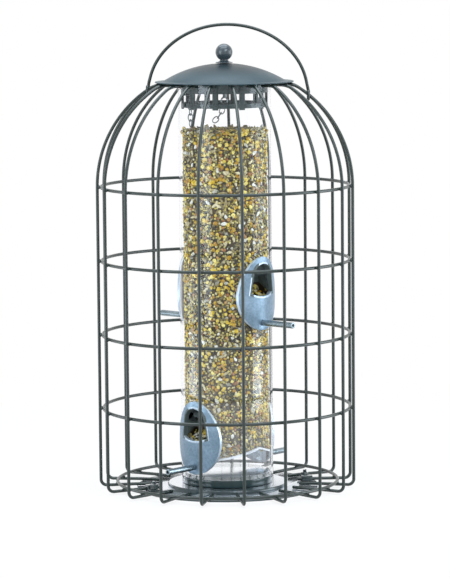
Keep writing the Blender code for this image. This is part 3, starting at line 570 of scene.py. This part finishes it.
def turned(name, profile, steps, closed=False):
    """A solid turned about Z from (radius, height) points. A closed profile makes a ring."""
    vertices, rows = [], []
    for radius, height in profile:
        row = []
        for step in range(steps if radius > 0 else 1):
            turn = 2 * math.pi * step / steps
            row.append(len(vertices))
            vertices.append((radius * math.cos(turn), radius * math.sin(turn), height))
        rows.append(row)
    faces = []
    pairs = list(zip(rows, rows[1:] + rows[:1]))
    for upper, lower in pairs if closed else pairs[:-1]:
        for step in range(steps):
            after = (step + 1) % steps
            corners = [upper[step % len(upper)], upper[after % len(upper)]]
            corners += [lower[after % len(lower)], lower[step % len(lower)]]
            corners = list(dict.fromkeys(corners))
            if len(corners) > 2:
                faces.append(corners)
    return meshed(name, vertices, faces, TURNED_ANGLE)


def wire_rows(path, radius, closed):
    """Each point of a wire's path with its direction and radius, the ends of an open wire broken a little."""
    count = len(path)
    tangents = []
    for index in range(count):
        before = path[index - 1] if closed or index > 0 else path[0]
        after = path[(index + 1) % count] if closed or index < count - 1 else path[-1]
        tangents.append((after - before).normalized())
    rows = [(at, tangent, radius) for at, tangent in zip(path, tangents)]
    if not closed:
        broken = radius / 4
        rows[0] = (path[0] + tangents[0] * broken, tangents[0], radius)
        rows[-1] = (path[-1] - tangents[-1] * broken, tangents[-1], radius)
        rows.insert(0, (path[0], tangents[0], radius - broken))
        rows.append((path[-1], tangents[-1], radius - broken))
    return rows


def round_wire(name, points, closed=False, matrix=None):
    """A round wire of the feeder's one gauge along points, turned into place by a matrix."""
    path = [Vector(point) for point in points]
    if matrix is not None:
        path = [matrix @ point for point in path]
    rows = wire_rows(path, WIRE_DIAMETER / 2, closed)
    last = rows[0][1]
    side = last.orthogonal().normalized()
    vertices, faces = [], []
    for at, tangent, radius in rows:
        side = (last.rotation_difference(tangent) @ side).normalized()
        other = tangent.cross(side)
        last = tangent
        for step in range(WIRE_SIDES):
            turn = 2 * math.pi * step / WIRE_SIDES
            vertices.append(at + (side * math.cos(turn) + other * math.sin(turn)) * radius)
    for row in range(len(rows) if closed else len(rows) - 1):
        here = row * WIRE_SIDES
        following = (row + 1) % len(rows) * WIRE_SIDES
        for step in range(WIRE_SIDES):
            beside = (step + 1) % WIRE_SIDES
            faces.append([here + step, here + beside, following + beside, following + step])
    if not closed:
        faces.append(list(range(WIRE_SIDES)))
        faces.append(list(range(len(vertices) - WIRE_SIDES, len(vertices))))
    return meshed(name, vertices, faces, WIRE_ANGLE)


# Finer copies of the solids


def in_mouth(across, up, lift, margin):
    """Whether a point lies in the mouth's outline grown by a margin, and clear of its sill by a lift."""
    aside = across / MOUTH_HALF_WIDTH
    sill = MOUTH_SILL - MOUTH_SCOOP * (1 - aside**2) + MOUTH_CORNER * aside**4
    return across < MOUTH_HALF_WIDTH + margin and sill + lift < up < MOUTH_TOP + margin


def mark_port(mesh, turn, height):
    """Marks a port's throat for painted shade, its other faces inside the tube for painted light, and its
    edges for painted highlights.
    """
    outward = Vector((math.cos(turn), math.sin(turn), 0))
    sideways = Vector((-math.sin(turn), math.cos(turn), 0))
    for mark in MARKS:
        mesh.attributes.new(mark, "FLOAT", "FACE")
    throat, sheltered, rubbed = [mesh.attributes[mark].data for mark in MARKS]
    for face in mesh.polygons:
        across = abs(face.center.dot(sideways))
        up = face.center.z - height
        # The mouth's walls and throat get painted shade
        wall = in_mouth(across, up, *MOUTH_WALLS) and face.normal.dot(outward) < 0.3
        in_shade = wall or in_mouth(across, up, *MOUTH_THROAT)
        reach = math.hypot(face.center.x, face.center.y)
        radial = Vector((face.center.x, face.center.y, 0)).normalized()
        side = reach > TUBE_RADIUS and face.normal.dot(radial) < 0.85
        corner = side and reach > FLANGE_FACE - FLANGE_CORNER
        rim = reach > FLANGE_FACE + RIM_RISE
        throat[face.index].value = 1 if in_shade else 0
        # Painted light on the faces inside the tube, clear of the throat
        sheltered[face.index].value = 1 if reach < BORE_RADIUS and not in_shade else 0
        # Painted highlights on the flange's corner, its other side faces and its rim
        rubbed[face.index].value = CORNER_HIGHLIGHT if corner else SIDE_HIGHLIGHT if side else RIM_HIGHLIGHT if rim else 0


def refined(node, body, edge=0.0, angle=SOLID_ANGLE, finish=None):
    """A finer copy of a solid: its corners joined up, its edges rounded and its curves smooth."""
    edit = bmesh.new()
    edit.from_mesh(NODES[node].data)
    bmesh.ops.remove_doubles(edit, verts=edit.verts, dist=0.000002)
    bmesh.ops.dissolve_limit(edit, angle_limit=math.radians(1), verts=edit.verts, edges=edit.edges)
    if edge:
        sharp = [
            line for line in edit.edges
            if line.is_manifold and line.calc_face_angle(0) > math.radians(angle)
        ]
        bmesh.ops.bevel(
            edit, geom=sharp, offset=edge, segments=2, profile=0.6, affect="EDGES", clamp_overlap=True
        )
    bmesh.ops.recalc_face_normals(edit, faces=edit.faces)
    mesh = bpy.data.meshes.new(f"{node}_look")
    edit.to_mesh(mesh)
    edit.free()
    smooth(mesh, angle)
    slot = SLOTS[node]
    if slot == "cast_zinc":
        mark_port(mesh, PORT_TURNS[node.removeprefix("port_")], middle_height(node))
    piece = bpy.data.objects.new(f"{node}_look", mesh)
    dress(piece, finish or SLOT_FINISHES[slot], body, [node])


def finish_solids():
    """The finishes on the solids themselves, then the finer copies of those that no maker below replaces."""
    for node, slot in SLOTS.items():
        finish = SLOT_FINISHES.get(slot)
        if finish:
            NODES[node].data.materials.clear()
            NODES[node].data.materials.append(finish)
    refined("base_plate", "feeder")
    refined("base_cap", "feeder", edge=0.00015, angle=50, finish=CAP_PLASTIC)
    refined("tube", "feeder")
    refined("seed_baffle", "feeder", angle=30, finish=CLEAR_BAFFLE)
    refined("lid_plug", "lid", edge=0.0002)
    refined("eye_nut", "lid", edge=0.00015)
    for number in (1, 2):
        refined(f"clamp_saddle_{number}", "feeder", edge=0.0003, finish=CLAMP_PAINT)
        refined(f"clamp_nut_{number}", "feeder", edge=0.0002, angle=50, finish=CLAMP_PAINT)
    for name in PORT_TURNS:
        refined(f"port_{name}", "feeder", edge=0.00035)
    for number in (1, 2, 3, 4):
        refined(f"lid_chain_link_{number}", "lid", angle=CHAIN_ANGLE)
    for number in (1, 2, 3, 4, 5):
        refined(f"side_chain_link_{number}", "feeder", angle=CHAIN_ANGLE)
    refined("tether_hook", "feeder", angle=CHAIN_ANGLE)


# Cage and bail


def wire_angle(index):
    return FIRST_WIRE_ANGLE + 2 * math.pi * index / CAGE_WIRES


def wire_path():
    """Centreline of a cage wire from its foot to its tip under the lid."""
    points = [(FOOT_END_RADIUS, FOOT_Z), (PLATE_RADIUS, FOOT_Z)]
    bend = (CAGE_RADIUS - FOOT_BEND_RADIUS, FOOT_Z - FOOT_DROOP + FOOT_BEND_RADIUS)
    points += arc(bend, FOOT_BEND_RADIUS, -math.pi / 2, 0, 10)
    points += arc((SHOULDER_CENTRE, SHOULDER_Z), SHOULDER_ARC_RADIUS, 0, SHOULDER_TURN, 26)
    crown_centre = (CROWN_END_RADIUS, CROWN_CENTRE_Z)
    points += arc(crown_centre, CROWN_ARC_RADIUS, SHOULDER_TURN, math.pi / 2, 9)[1:]
    points.append((WIRE_TIP_RADIUS, CROWN_Z))
    return [(radius, 0, height) for radius, height in points]


def dome_height(radius):
    """Height of a cage wire's centreline where the dome has a radius."""
    if radius > CROWN_START_RADIUS:
        return SHOULDER_Z + math.sqrt(SHOULDER_ARC_RADIUS**2 - (radius - SHOULDER_CENTRE) ** 2)
    return CROWN_CENTRE_Z + math.sqrt(CROWN_ARC_RADIUS**2 - (radius - CROWN_END_RADIUS) ** 2)


def make_cage():
    path = wire_path()
    for index in range(CAGE_WIRES):
        piece = round_wire(f"upright_{index + 1:02d}", path, matrix=turn_about_z(wire_angle(index)))
        dress(piece, POWDER_COAT, "feeder", [f"cage_wire_{index + 1:02d}"])
    hoops = [
        (f"hoop_{number}", f"cage_ring_{number}", circle(RING_RADIUS, height, RING_STEPS))
        for number, height in enumerate(RING_HEIGHTS, 1)
    ]
    hoops.append(("foot_hoop", "cage_foot_ring", circle(FOOT_RING_RADIUS, FOOT_RING_Z, RING_STEPS)))
    hoops.append(("top_hoop", "cage_top_ring", circle(TOP_RING_RADIUS, CROWN_Z + WIRE_DIAMETER + GAP, 72)))
    for name, node, points in hoops:
        dress(round_wire(name, points, closed=True), POWDER_COAT, "feeder", [node])


def make_welds():
    """The small beads where each ring is welded to each wire, under the same coat."""
    edit = bmesh.new()
    between = (WIRE_DIAMETER + GAP) / 2
    upright, flat = (1.0, 1.1, 1.1), (1.1, 1.1, 1.0)
    spots = [(CAGE_RADIUS - between, height, upright) for height in RING_HEIGHTS]
    spots.append((FOOT_RING_RADIUS, FOOT_RING_Z - between, flat))
    spots.append((TOP_RING_RADIUS, CROWN_Z + between, flat))
    for index in range(CAGE_WIRES):
        for radius, height, shape in spots:
            at = turn_about_z(wire_angle(index)) @ Matrix.Translation((radius, 0, height))
            size = Matrix.Diagonal((*shape, 1)) @ Matrix.Scale(between, 4)
            bmesh.ops.create_icosphere(edit, subdivisions=2, radius=1, matrix=at @ size)
    mesh = bpy.data.meshes.new("cage_welds")
    edit.to_mesh(mesh)
    edit.free()
    smooth(mesh, TURNED_ANGLE)
    dress(bpy.data.objects.new("cage_welds", mesh), POWDER_COAT, "feeder")


def bail_frame():
    """Frame of the bail, X along the line through its eyes, and half the distance between them."""
    left, right = [
        turn_about_z(wire_angle(index)) @ Vector((radius, 0, dome_height(radius)))
        for index, radius in BAIL_ENDS
    ]
    across = (right - left).normalized()
    back = Vector((0, 0, 1)).cross(across).normalized()
    turn = Matrix((across, back, across.cross(back))).transposed().to_4x4()
    return Matrix.Translation((left + right) / 2) @ turn, (right - left).length / 2


def make_bail():
    """A bow on two legs, each ending in an eye round a wire of the dome."""
    here, half = bail_frame()
    leg_turn = math.asin(BAIL_LEG / BAIL_RISE)
    eye = arc((0, 0), BAIL_EYE_RADIUS, BAIL_EYE_TURN, 0, 28)
    right = [(half, aside, -down) for aside, down in eye[:-1]]
    steps = 12
    for step in range(steps):
        share = step / steps
        turn = leg_turn * share
        rise = BAIL_RISE * math.sin(turn)
        aside = BAIL_EYE_RADIUS * (1 + math.cos(math.pi * rise / BAIL_LEG)) / 2
        right.append(((half - BAIL_NARROWING * share) * math.cos(turn), aside, rise))
    bow = arc((0, 0), 1, leg_turn, math.pi - leg_turn, 72)
    middle = [((half - BAIL_NARROWING) * across, 0, BAIL_RISE * up) for across, up in bow]
    left = [(-across, aside, up) for across, aside, up in reversed(right)]
    piece = round_wire("bail_wire", right + middle + left, matrix=here)
    dress(piece, POWDER_COAT, "bail", ["bail"])


# Lid and knob


def make_lid():
    """A spun dome with a step and a flat brim, its edge rounded. Returns the height of its top."""
    seat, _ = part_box("lid_shell")
    brim_top = seat.z + LID_GAUGE
    sphere = brim_top + LID_DOME_STEP - math.sqrt(LID_DOME_SPHERE**2 - LID_DOME_RADIUS**2)
    start = math.acos(LID_HOLE_RADIUS / LID_DOME_SPHERE)
    end = math.acos(LID_DOME_RADIUS / LID_DOME_SPHERE)
    profile = arc((0, sphere), LID_DOME_SPHERE, start, end, 30)
    profile.append((LID_DOME_RADIUS + LID_STEP_BEND, brim_top + LID_DOME_STEP * 0.35))
    profile.append((LID_DOME_RADIUS + LID_STEP_WIDTH, brim_top))
    edge = LID_GAUGE / 2
    profile += arc((LID_RADIUS - edge, brim_top - edge), edge, math.pi / 2, -math.pi / 2, 8)
    profile.append((LID_DOME_RADIUS + LID_STEP_UNDER, seat.z))
    profile += arc((0, sphere), LID_DOME_SPHERE - LID_GAUGE, end, start, 30)
    dress(turned("spun_lid", profile, 128, closed=True), LID_PAINT, "lid", ["lid_shell"])
    return sphere + LID_DOME_SPHERE


def make_knob(lid_top):
    """A ball on a waist that flares to a foot, with the stud below it."""
    foot = lid_top + GAP
    ball = lid_top + KNOB_RISE
    neck = math.asin(KNOB_NECK_RADIUS / KNOB_RADIUS)
    profile = arc((0, ball), KNOB_RADIUS, math.pi / 2, neck - math.pi / 2, 30)
    profile[0] = (0, ball + KNOB_RADIUS)
    waist = profile[-1][1]
    steps = 8
    for step in range(1, steps + 1):
        share = step / steps
        radius = KNOB_NECK_RADIUS + (KNOB_FOOT_RADIUS - KNOB_NECK_RADIUS) * share**KNOB_FLARE
        profile.append((radius, waist + (foot + KNOB_FOOT_EDGE - waist) * share**KNOB_FALL))
    low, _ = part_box("lid_knob")
    profile += [(KNOB_FOOT_RADIUS, foot), (KNOB_STUD_RADIUS, foot), (KNOB_STUD_RADIUS, low.z), (0, low.z)]
    dress(turned("ball_knob", profile, 56), KNOB_PAINT, "lid", ["lid_knob"])


# Perches


def make_perches():
    """Round pegs with a bored, rounded tip and a spigot in the flange."""
    floor = PERCH_TIP_RADIUS - PERCH_BORE_DEPTH
    edge = (PERCH_RADIUS - PERCH_EDGE, PERCH_TIP_RADIUS - PERCH_EDGE)
    back = FLANGE_FACE - PERCH_SPIGOT_LENGTH
    profile = [(0, floor), (PERCH_BORE_RADIUS, floor)]
    profile.append((PERCH_BORE_RADIUS, PERCH_TIP_RADIUS - PERCH_EDGE / 2))
    profile.append((PERCH_BORE_RADIUS + PERCH_EDGE / 2, PERCH_TIP_RADIUS))
    profile += arc(edge, PERCH_EDGE, math.pi / 2, 0, 5)
    profile += [(PERCH_RADIUS, FLANGE_FACE + GAP), (PERCH_SPIGOT_RADIUS, FLANGE_FACE + GAP)]
    profile += [(PERCH_SPIGOT_RADIUS, back), (0, back)]
    outward = Matrix.Rotation(math.pi / 2, 4, "Y")
    for name, angle in PORT_TURNS.items():
        up = Matrix.Translation((0, 0, middle_height(f"perch_{name}")))
        here = up @ turn_about_z(angle) @ outward
        peg = turned(f"peg_{name}", profile, 32)
        dress(peg, PERCH_METAL, "feeder", [f"perch_{name}"], here)


# Seed

# One kind of grain: its share of the mix, size, taper of one end, pull to its own patches, whether it
# is chipped, and its tones from dark to pale
Grain = namedtuple("Grain", "share length width thickness taper pull chipped tones")
GRAINS = {
    "millet": Grain(
        0.30, 0.0023, 0.0020, 0.0017, 0.0, 0.4, False,
        ((0.26, 0.19, 0.03), (0.58, 0.46, 0.08), (0.86, 0.76, 0.36)),
    ),
    "milo": Grain(
        0.07, 0.0033, 0.0029, 0.0024, 0.0, 1.5, False,
        ((0.16, 0.06, 0.02), (0.40, 0.17, 0.04), (0.58, 0.33, 0.10)),
    ),
    "wheat": Grain(
        0.24, 0.0052, 0.0022, 0.0018, 0.4, -2.2, True,
        ((0.15, 0.12, 0.05), (0.42, 0.33, 0.13), (0.80, 0.70, 0.44)),
    ),
    "maize": Grain(
        0.20, 0.0040, 0.0031, 0.0019, 0.1, 2.6, True,
        ((0.46, 0.23, 0.01), (0.74, 0.50, 0.03), (0.95, 0.80, 0.24)),
    ),
    "hearts": Grain(
        0.09, 0.0058, 0.0028, 0.0014, 0.6, -0.8, True,
        ((0.30, 0.28, 0.20), (0.66, 0.62, 0.50), (0.95, 0.93, 0.86)),
    ),
    "rape": Grain(
        0.10, 0.0024, 0.0022, 0.0018, 0.0, -0.6, False,
        ((0.018, 0.018, 0.014), (0.05, 0.052, 0.03), (0.16, 0.18, 0.06)),
    ),
}
MIX_PATCHES = 75
SMALL_GRAIN = 0.003
GRAIN_SIZES = (0.86, 1.14)
GRAIN_LEAN = 0.8
GRAIN_DEPTH = 0.0007
GRAIN_ROUGHNESS = 0.28

# Each layer of grains: how far it lies within the mass, how tight it is, and the seed of its draws
LAYERS = ((0, 0.70, 11), (0.0012, 0.66, 12))
LAYER_POINTS = 80000
ROOM_SHARE = 0.235
ROOM_CELL = 0.0028

# The slope of seed behind each sill
HEAP_POINTS = 260
HEAP_HALF_WIDTH = 0.0112
HEAP_REACH = 0.0365
HEAP_DEPTH = 0.0100
HEAP_RISE = 0.0085
HEAP_DROP = 0.0026

# The plain mass behind the grains, drawn in at its wall and lowered at its top
CORE_WALL = 0.03
CORE_INSET = 0.0019
CORE_TOP = 0.29
CORE_DROP = 0.0015


def surface_points(mesh, amount, seed):
    """Points spread over a mesh, each with the normal of its face."""
    mesh.calc_loop_triangles()
    corners = np.array([vertex.co for vertex in mesh.vertices])
    faces = np.array([triangle.vertices for triangle in mesh.loop_triangles])
    a, b, c = (corners[faces[:, column]] for column in (0, 1, 2))
    cross = np.cross(b - a, c - a)
    sizes = np.linalg.norm(cross, axis=1)
    pick = np.random.RandomState(seed)
    chosen = pick.choice(len(faces), amount, p=sizes / sizes.sum())
    u, v = pick.rand(amount), pick.rand(amount)
    over = u + v > 1
    u[over], v[over] = 1 - u[over], 1 - v[over]
    points = a[chosen] + (b - a)[chosen] * u[:, None] + (c - a)[chosen] * v[:, None]
    return points, cross[chosen] / sizes[chosen][:, None]


def heap_points(pick):
    """Points on the slope of seed that shows in each mouth, behind its sill."""
    points, normals = [], []
    up = Vector((0, 0, 1))
    for name, angle in PORT_TURNS.items():
        foot = middle_height(f"port_{name}") + MOUTH_SILL - HEAP_DROP
        outward = Vector((math.cos(angle), math.sin(angle), 0))
        sideways = Vector((-math.sin(angle), math.cos(angle), 0))
        for _ in range(HEAP_POINTS):
            depth = pick.uniform(0, 1)
            across = pick.uniform(-1, 1) * HEAP_HALF_WIDTH
            rise = HEAP_RISE * depth**1.3
            at = outward * (HEAP_REACH - HEAP_DEPTH * depth) + sideways * across + up * (foot + rise)
            points.append(at)
            normals.append((up * 0.8 + outward * 0.6).normalized())
    return points, normals


def cells_near(key):
    steps = (-1, 0, 1)
    return [(key[0] + x, key[1] + y, key[2] + z) for x in steps for y in steps for z in steps]


def scatter(points, normals, pick, tight):
    """Takes points that leave each grain its room, and gives each a kind."""
    names = list(GRAINS)
    taken = {}
    chosen = {name: [] for name in names}
    for at, normal in zip(points, normals):
        patch = noise.noise(at * MIX_PATCHES)
        shares = [grain.share * math.exp(patch * grain.pull) for grain in GRAINS.values()]
        name = pick.choices(names, shares)[0]
        room = (GRAINS[name].length + GRAINS[name].width) * ROOM_SHARE
        key = tuple(int(part // ROOM_CELL) for part in at)
        near = [other for cell in cells_near(key) for other in taken.get(cell, ())]
        if any((at - place).length < (room + reach) * tight for place, reach in near):
            continue
        taken.setdefault(key, []).append((at, room))
        chosen[name].append((at, normal))
    return chosen


def grain_shape(grain):
    """Points and faces of one grain, a ball one metre in radius with its taper and chips."""
    edit = bmesh.new()
    bmesh.ops.create_icosphere(edit, subdivisions=1 if grain.length < SMALL_GRAIN else 2, radius=1)
    shape = np.array([vertex.co for vertex in edit.verts])
    faces = np.array([[vertex.index for vertex in face.verts] for face in edit.faces])
    edit.free()
    if grain.chipped:
        shape = np.array([point * (1 + 0.30 * noise.noise(Vector(point) * 1.7)) for point in shape])
    shape[:, 1:] *= (1 - grain.taper * np.clip(shape[:, :1], 0, 1) ** 2)
    return shape, faces


def grain_mesh(name, places, pick):
    """All the grains of one kind as one mesh, each turned its own way and set just under the wall."""
    grain = GRAINS[name]
    shape, faces = grain_shape(grain)
    points, all_faces = [], []
    for at, normal in places:
        size = pick.uniform(*GRAIN_SIZES)
        half = np.array((grain.length, grain.width, grain.thickness)) * size / 2
        tangent = normal.orthogonal().normalized()
        along = Matrix.Rotation(pick.uniform(0, 2 * math.pi), 3, normal) @ tangent
        lean = (along + normal * pick.uniform(-GRAIN_LEAN, GRAIN_LEAN)).normalized()
        side = normal.cross(lean).normalized()
        face = lean.cross(side)
        turn = np.array((lean, side, face))
        reach = float(np.abs(np.array((lean.dot(normal), side.dot(normal), face.dot(normal)))) @ half)
        centre = np.array(at - normal * (reach + pick.uniform(0, GRAIN_DEPTH)))
        all_faces.append(faces + len(points) * len(shape))
        points.append(shape * half @ turn + centre)
    mesh = bpy.data.meshes.new(f"seed_{name}")
    mesh.from_pydata(np.concatenate(points).tolist(), [], np.concatenate(all_faces).tolist())
    if not grain.chipped:
        mesh.shade_smooth()
    return bpy.data.objects.new(f"seed_{name}", mesh)


def make_core(mass):
    """The plain mass of seed, drawn in a little so that the grains stand before it."""
    core = mass.copy()
    core.name = "seed_core"
    for vertex in core.vertices:
        radius = math.hypot(vertex.co.x, vertex.co.y)
        if radius > CORE_WALL:
            keep = (radius - CORE_INSET) / radius
            vertex.co = Vector((vertex.co.x * keep, vertex.co.y * keep, vertex.co.z))
        if vertex.co.z > CORE_TOP:
            vertex.co.z -= CORE_DROP
    dress(bpy.data.objects.new("seed_core", core), seed_bed(), "feeder", ["seed_fill"])


def make_seed():
    """Loose grains against the wall and behind the sills, over a plain dark core."""
    mass = NODES["seed_fill"].data
    make_core(mass)
    pick = random.Random(5)
    chosen = {name: [] for name in GRAINS}
    for inset, tight, seed in LAYERS:
        points, normals = surface_points(mass, LAYER_POINTS, seed)
        places = [Vector(point - normal * inset) for point, normal in zip(points, normals)]
        ways = [Vector(normal) for normal in normals]
        if not inset:
            heap, heap_normals = heap_points(pick)
            places, ways = heap + places, heap_normals + ways
        for name, more in scatter(places, ways, pick, tight).items():
            chosen[name] += more
    for name, places in chosen.items():
        finish = grain_finish(f"{name} grain", GRAINS[name].tones, GRAIN_ROUGHNESS)
        dress(grain_mesh(name, places, pick), finish, "feeder")


# Floor, world, light and camera

FLOOR_HALF_WIDTH = 9
SHADOW_RADIUS = 0.12
SHADOW_FADE = 0.4
SHADOW_SHARE = 0.18

DAYLIGHT = (0.80, 0.91, 1.0)
MIDDLE = (0, 0, 0.2)
PORT_LEVEL = (0, 0, 0.07)
LAMPS = {
    # name: place, aim, width, height, power
    "left_box": ((-0.81, -0.59, 0.36), MIDDLE, 0.42, 0.72, 4.0),
    "right_box": ((1.1, -0.05, 0.36), MIDDLE, 0.8, 0.72, 6.0),
    "front_box": ((0.6, -1.3, 1.1), MIDDLE, 0.9, 0.7, 11.0),
    "low_right_box": ((0.50, -0.06, 0.07), PORT_LEVEL, 0.30, 0.14, 0.5),
    "low_left_box": ((-0.50, 0.02, 0.07), PORT_LEVEL, 0.30, 0.14, 0.45),
    "overhead": ((-0.1, 0.0, 1.5), MIDDLE, 1.5, 1.5, 28.0),
}

CAMERA_PLACE = (0.0, -2.603, 0.4573)
CAMERA_PITCH = math.radians(6.344)
CAMERA_YAW = math.radians(-0.019)
CAMERA_ROLL = math.radians(-0.4946)
FOCAL_LENGTH = 3116.5
PICTURE_HEIGHT = 578
SENSOR_HEIGHT = 24
CLIP_END = 30


def make_stage():
    """A pale floor with the feeder's soft shadow, which fades into the white backdrop."""
    finish = Finish("pale floor")
    away = ((finish.reach() - SHADOW_RADIUS) / SHADOW_FADE).within()
    pale = finish.surface(Base_Color=(0.86, 0.87, 0.88), Roughness=0.9, Specular_IOR_Level=0.1)
    white = finish.node("ShaderNodeEmission", None, {"Color": (1, 1, 1, 1), "Strength": 1.0})
    share = finish.seen_directly() * (1 - SHADOW_SHARE + away * SHADOW_SHARE)
    mesh = bpy.data.meshes.new("floor")
    signs = ((-1, -1), (1, -1), (1, 1), (-1, 1))
    corners = [(x * FLOOR_HALF_WIDTH, y * FLOOR_HALF_WIDTH, 0) for x, y in signs]
    mesh.from_pydata(corners, [], [(0, 1, 2, 3)])
    mesh.materials.append(finish.done(finish.mix(share, pale, white)))
    floor = bpy.data.objects.new("floor", mesh)
    bpy.context.scene.collection.objects.link(floor)


def make_world():
    """A dim daylight all round, and white where it is seen directly."""
    studio = Finish("studio", bpy.data.worlds)
    ambient = {"Color": (0.95, 0.975, 1.0, 1), "Strength": 0.3}
    white = {"Color": (1, 1, 1, 1), "Strength": 1.0}
    dim, bright = [studio.node("ShaderNodeBackground", None, inputs) for inputs in (ambient, white)]
    shader = studio.mix(studio.seen_directly(), dim, bright)
    bpy.context.scene.world = studio.done(shader, "ShaderNodeOutputWorld")


def make_lights():
    """Soft boxes that don't show in the picture."""
    for name, (at, aim, width, height, power) in LAMPS.items():
        light = bpy.data.lights.new(name, "AREA")
        light.color = DAYLIGHT
        light.shape = "RECTANGLE"
        light.size = width
        light.size_y = height
        light.energy = power
        lamp = bpy.data.objects.new(name, light)
        lamp.visible_camera = False
        turn = (Vector(at) - Vector(aim)).to_track_quat("Z", "Y")
        lamp.matrix_world = Matrix.Translation(at) @ turn.to_matrix().to_4x4()
        bpy.context.scene.collection.objects.link(lamp)


def make_camera():
    """The photograph's view: its frame is 450 by 578, and the focal length is in its pixels."""
    pitch, yaw, roll = CAMERA_PITCH, CAMERA_YAW, CAMERA_ROLL
    ahead = Vector((math.sin(yaw) * math.cos(pitch), math.cos(yaw) * math.cos(pitch), -math.sin(pitch)))
    right = Vector((math.cos(yaw), -math.sin(yaw), 0))
    up = right.cross(ahead)
    turned_right = right * math.cos(roll) + up * math.sin(roll)
    turned_up = up * math.cos(roll) - right * math.sin(roll)
    lens = bpy.data.cameras.new("camera")
    lens.sensor_fit = "VERTICAL"
    lens.sensor_height = SENSOR_HEIGHT
    lens.lens = FOCAL_LENGTH * SENSOR_HEIGHT / PICTURE_HEIGHT
    lens.clip_end = CLIP_END
    camera = bpy.data.objects.new("camera", lens)
    turn = Matrix((turned_right, turned_up, -ahead)).transposed().to_4x4()
    camera.matrix_world = Matrix.Translation(CAMERA_PLACE) @ turn
    bpy.context.scene.collection.objects.link(camera)
    bpy.context.scene.camera = camera


make_camera()
finish_solids()
make_cage()
make_welds()
make_bail()
make_knob(make_lid())
make_perches()
make_seed()
make_stage()
make_world()
make_lights()
bpy.context.scene.view_settings.view_transform = "Standard"
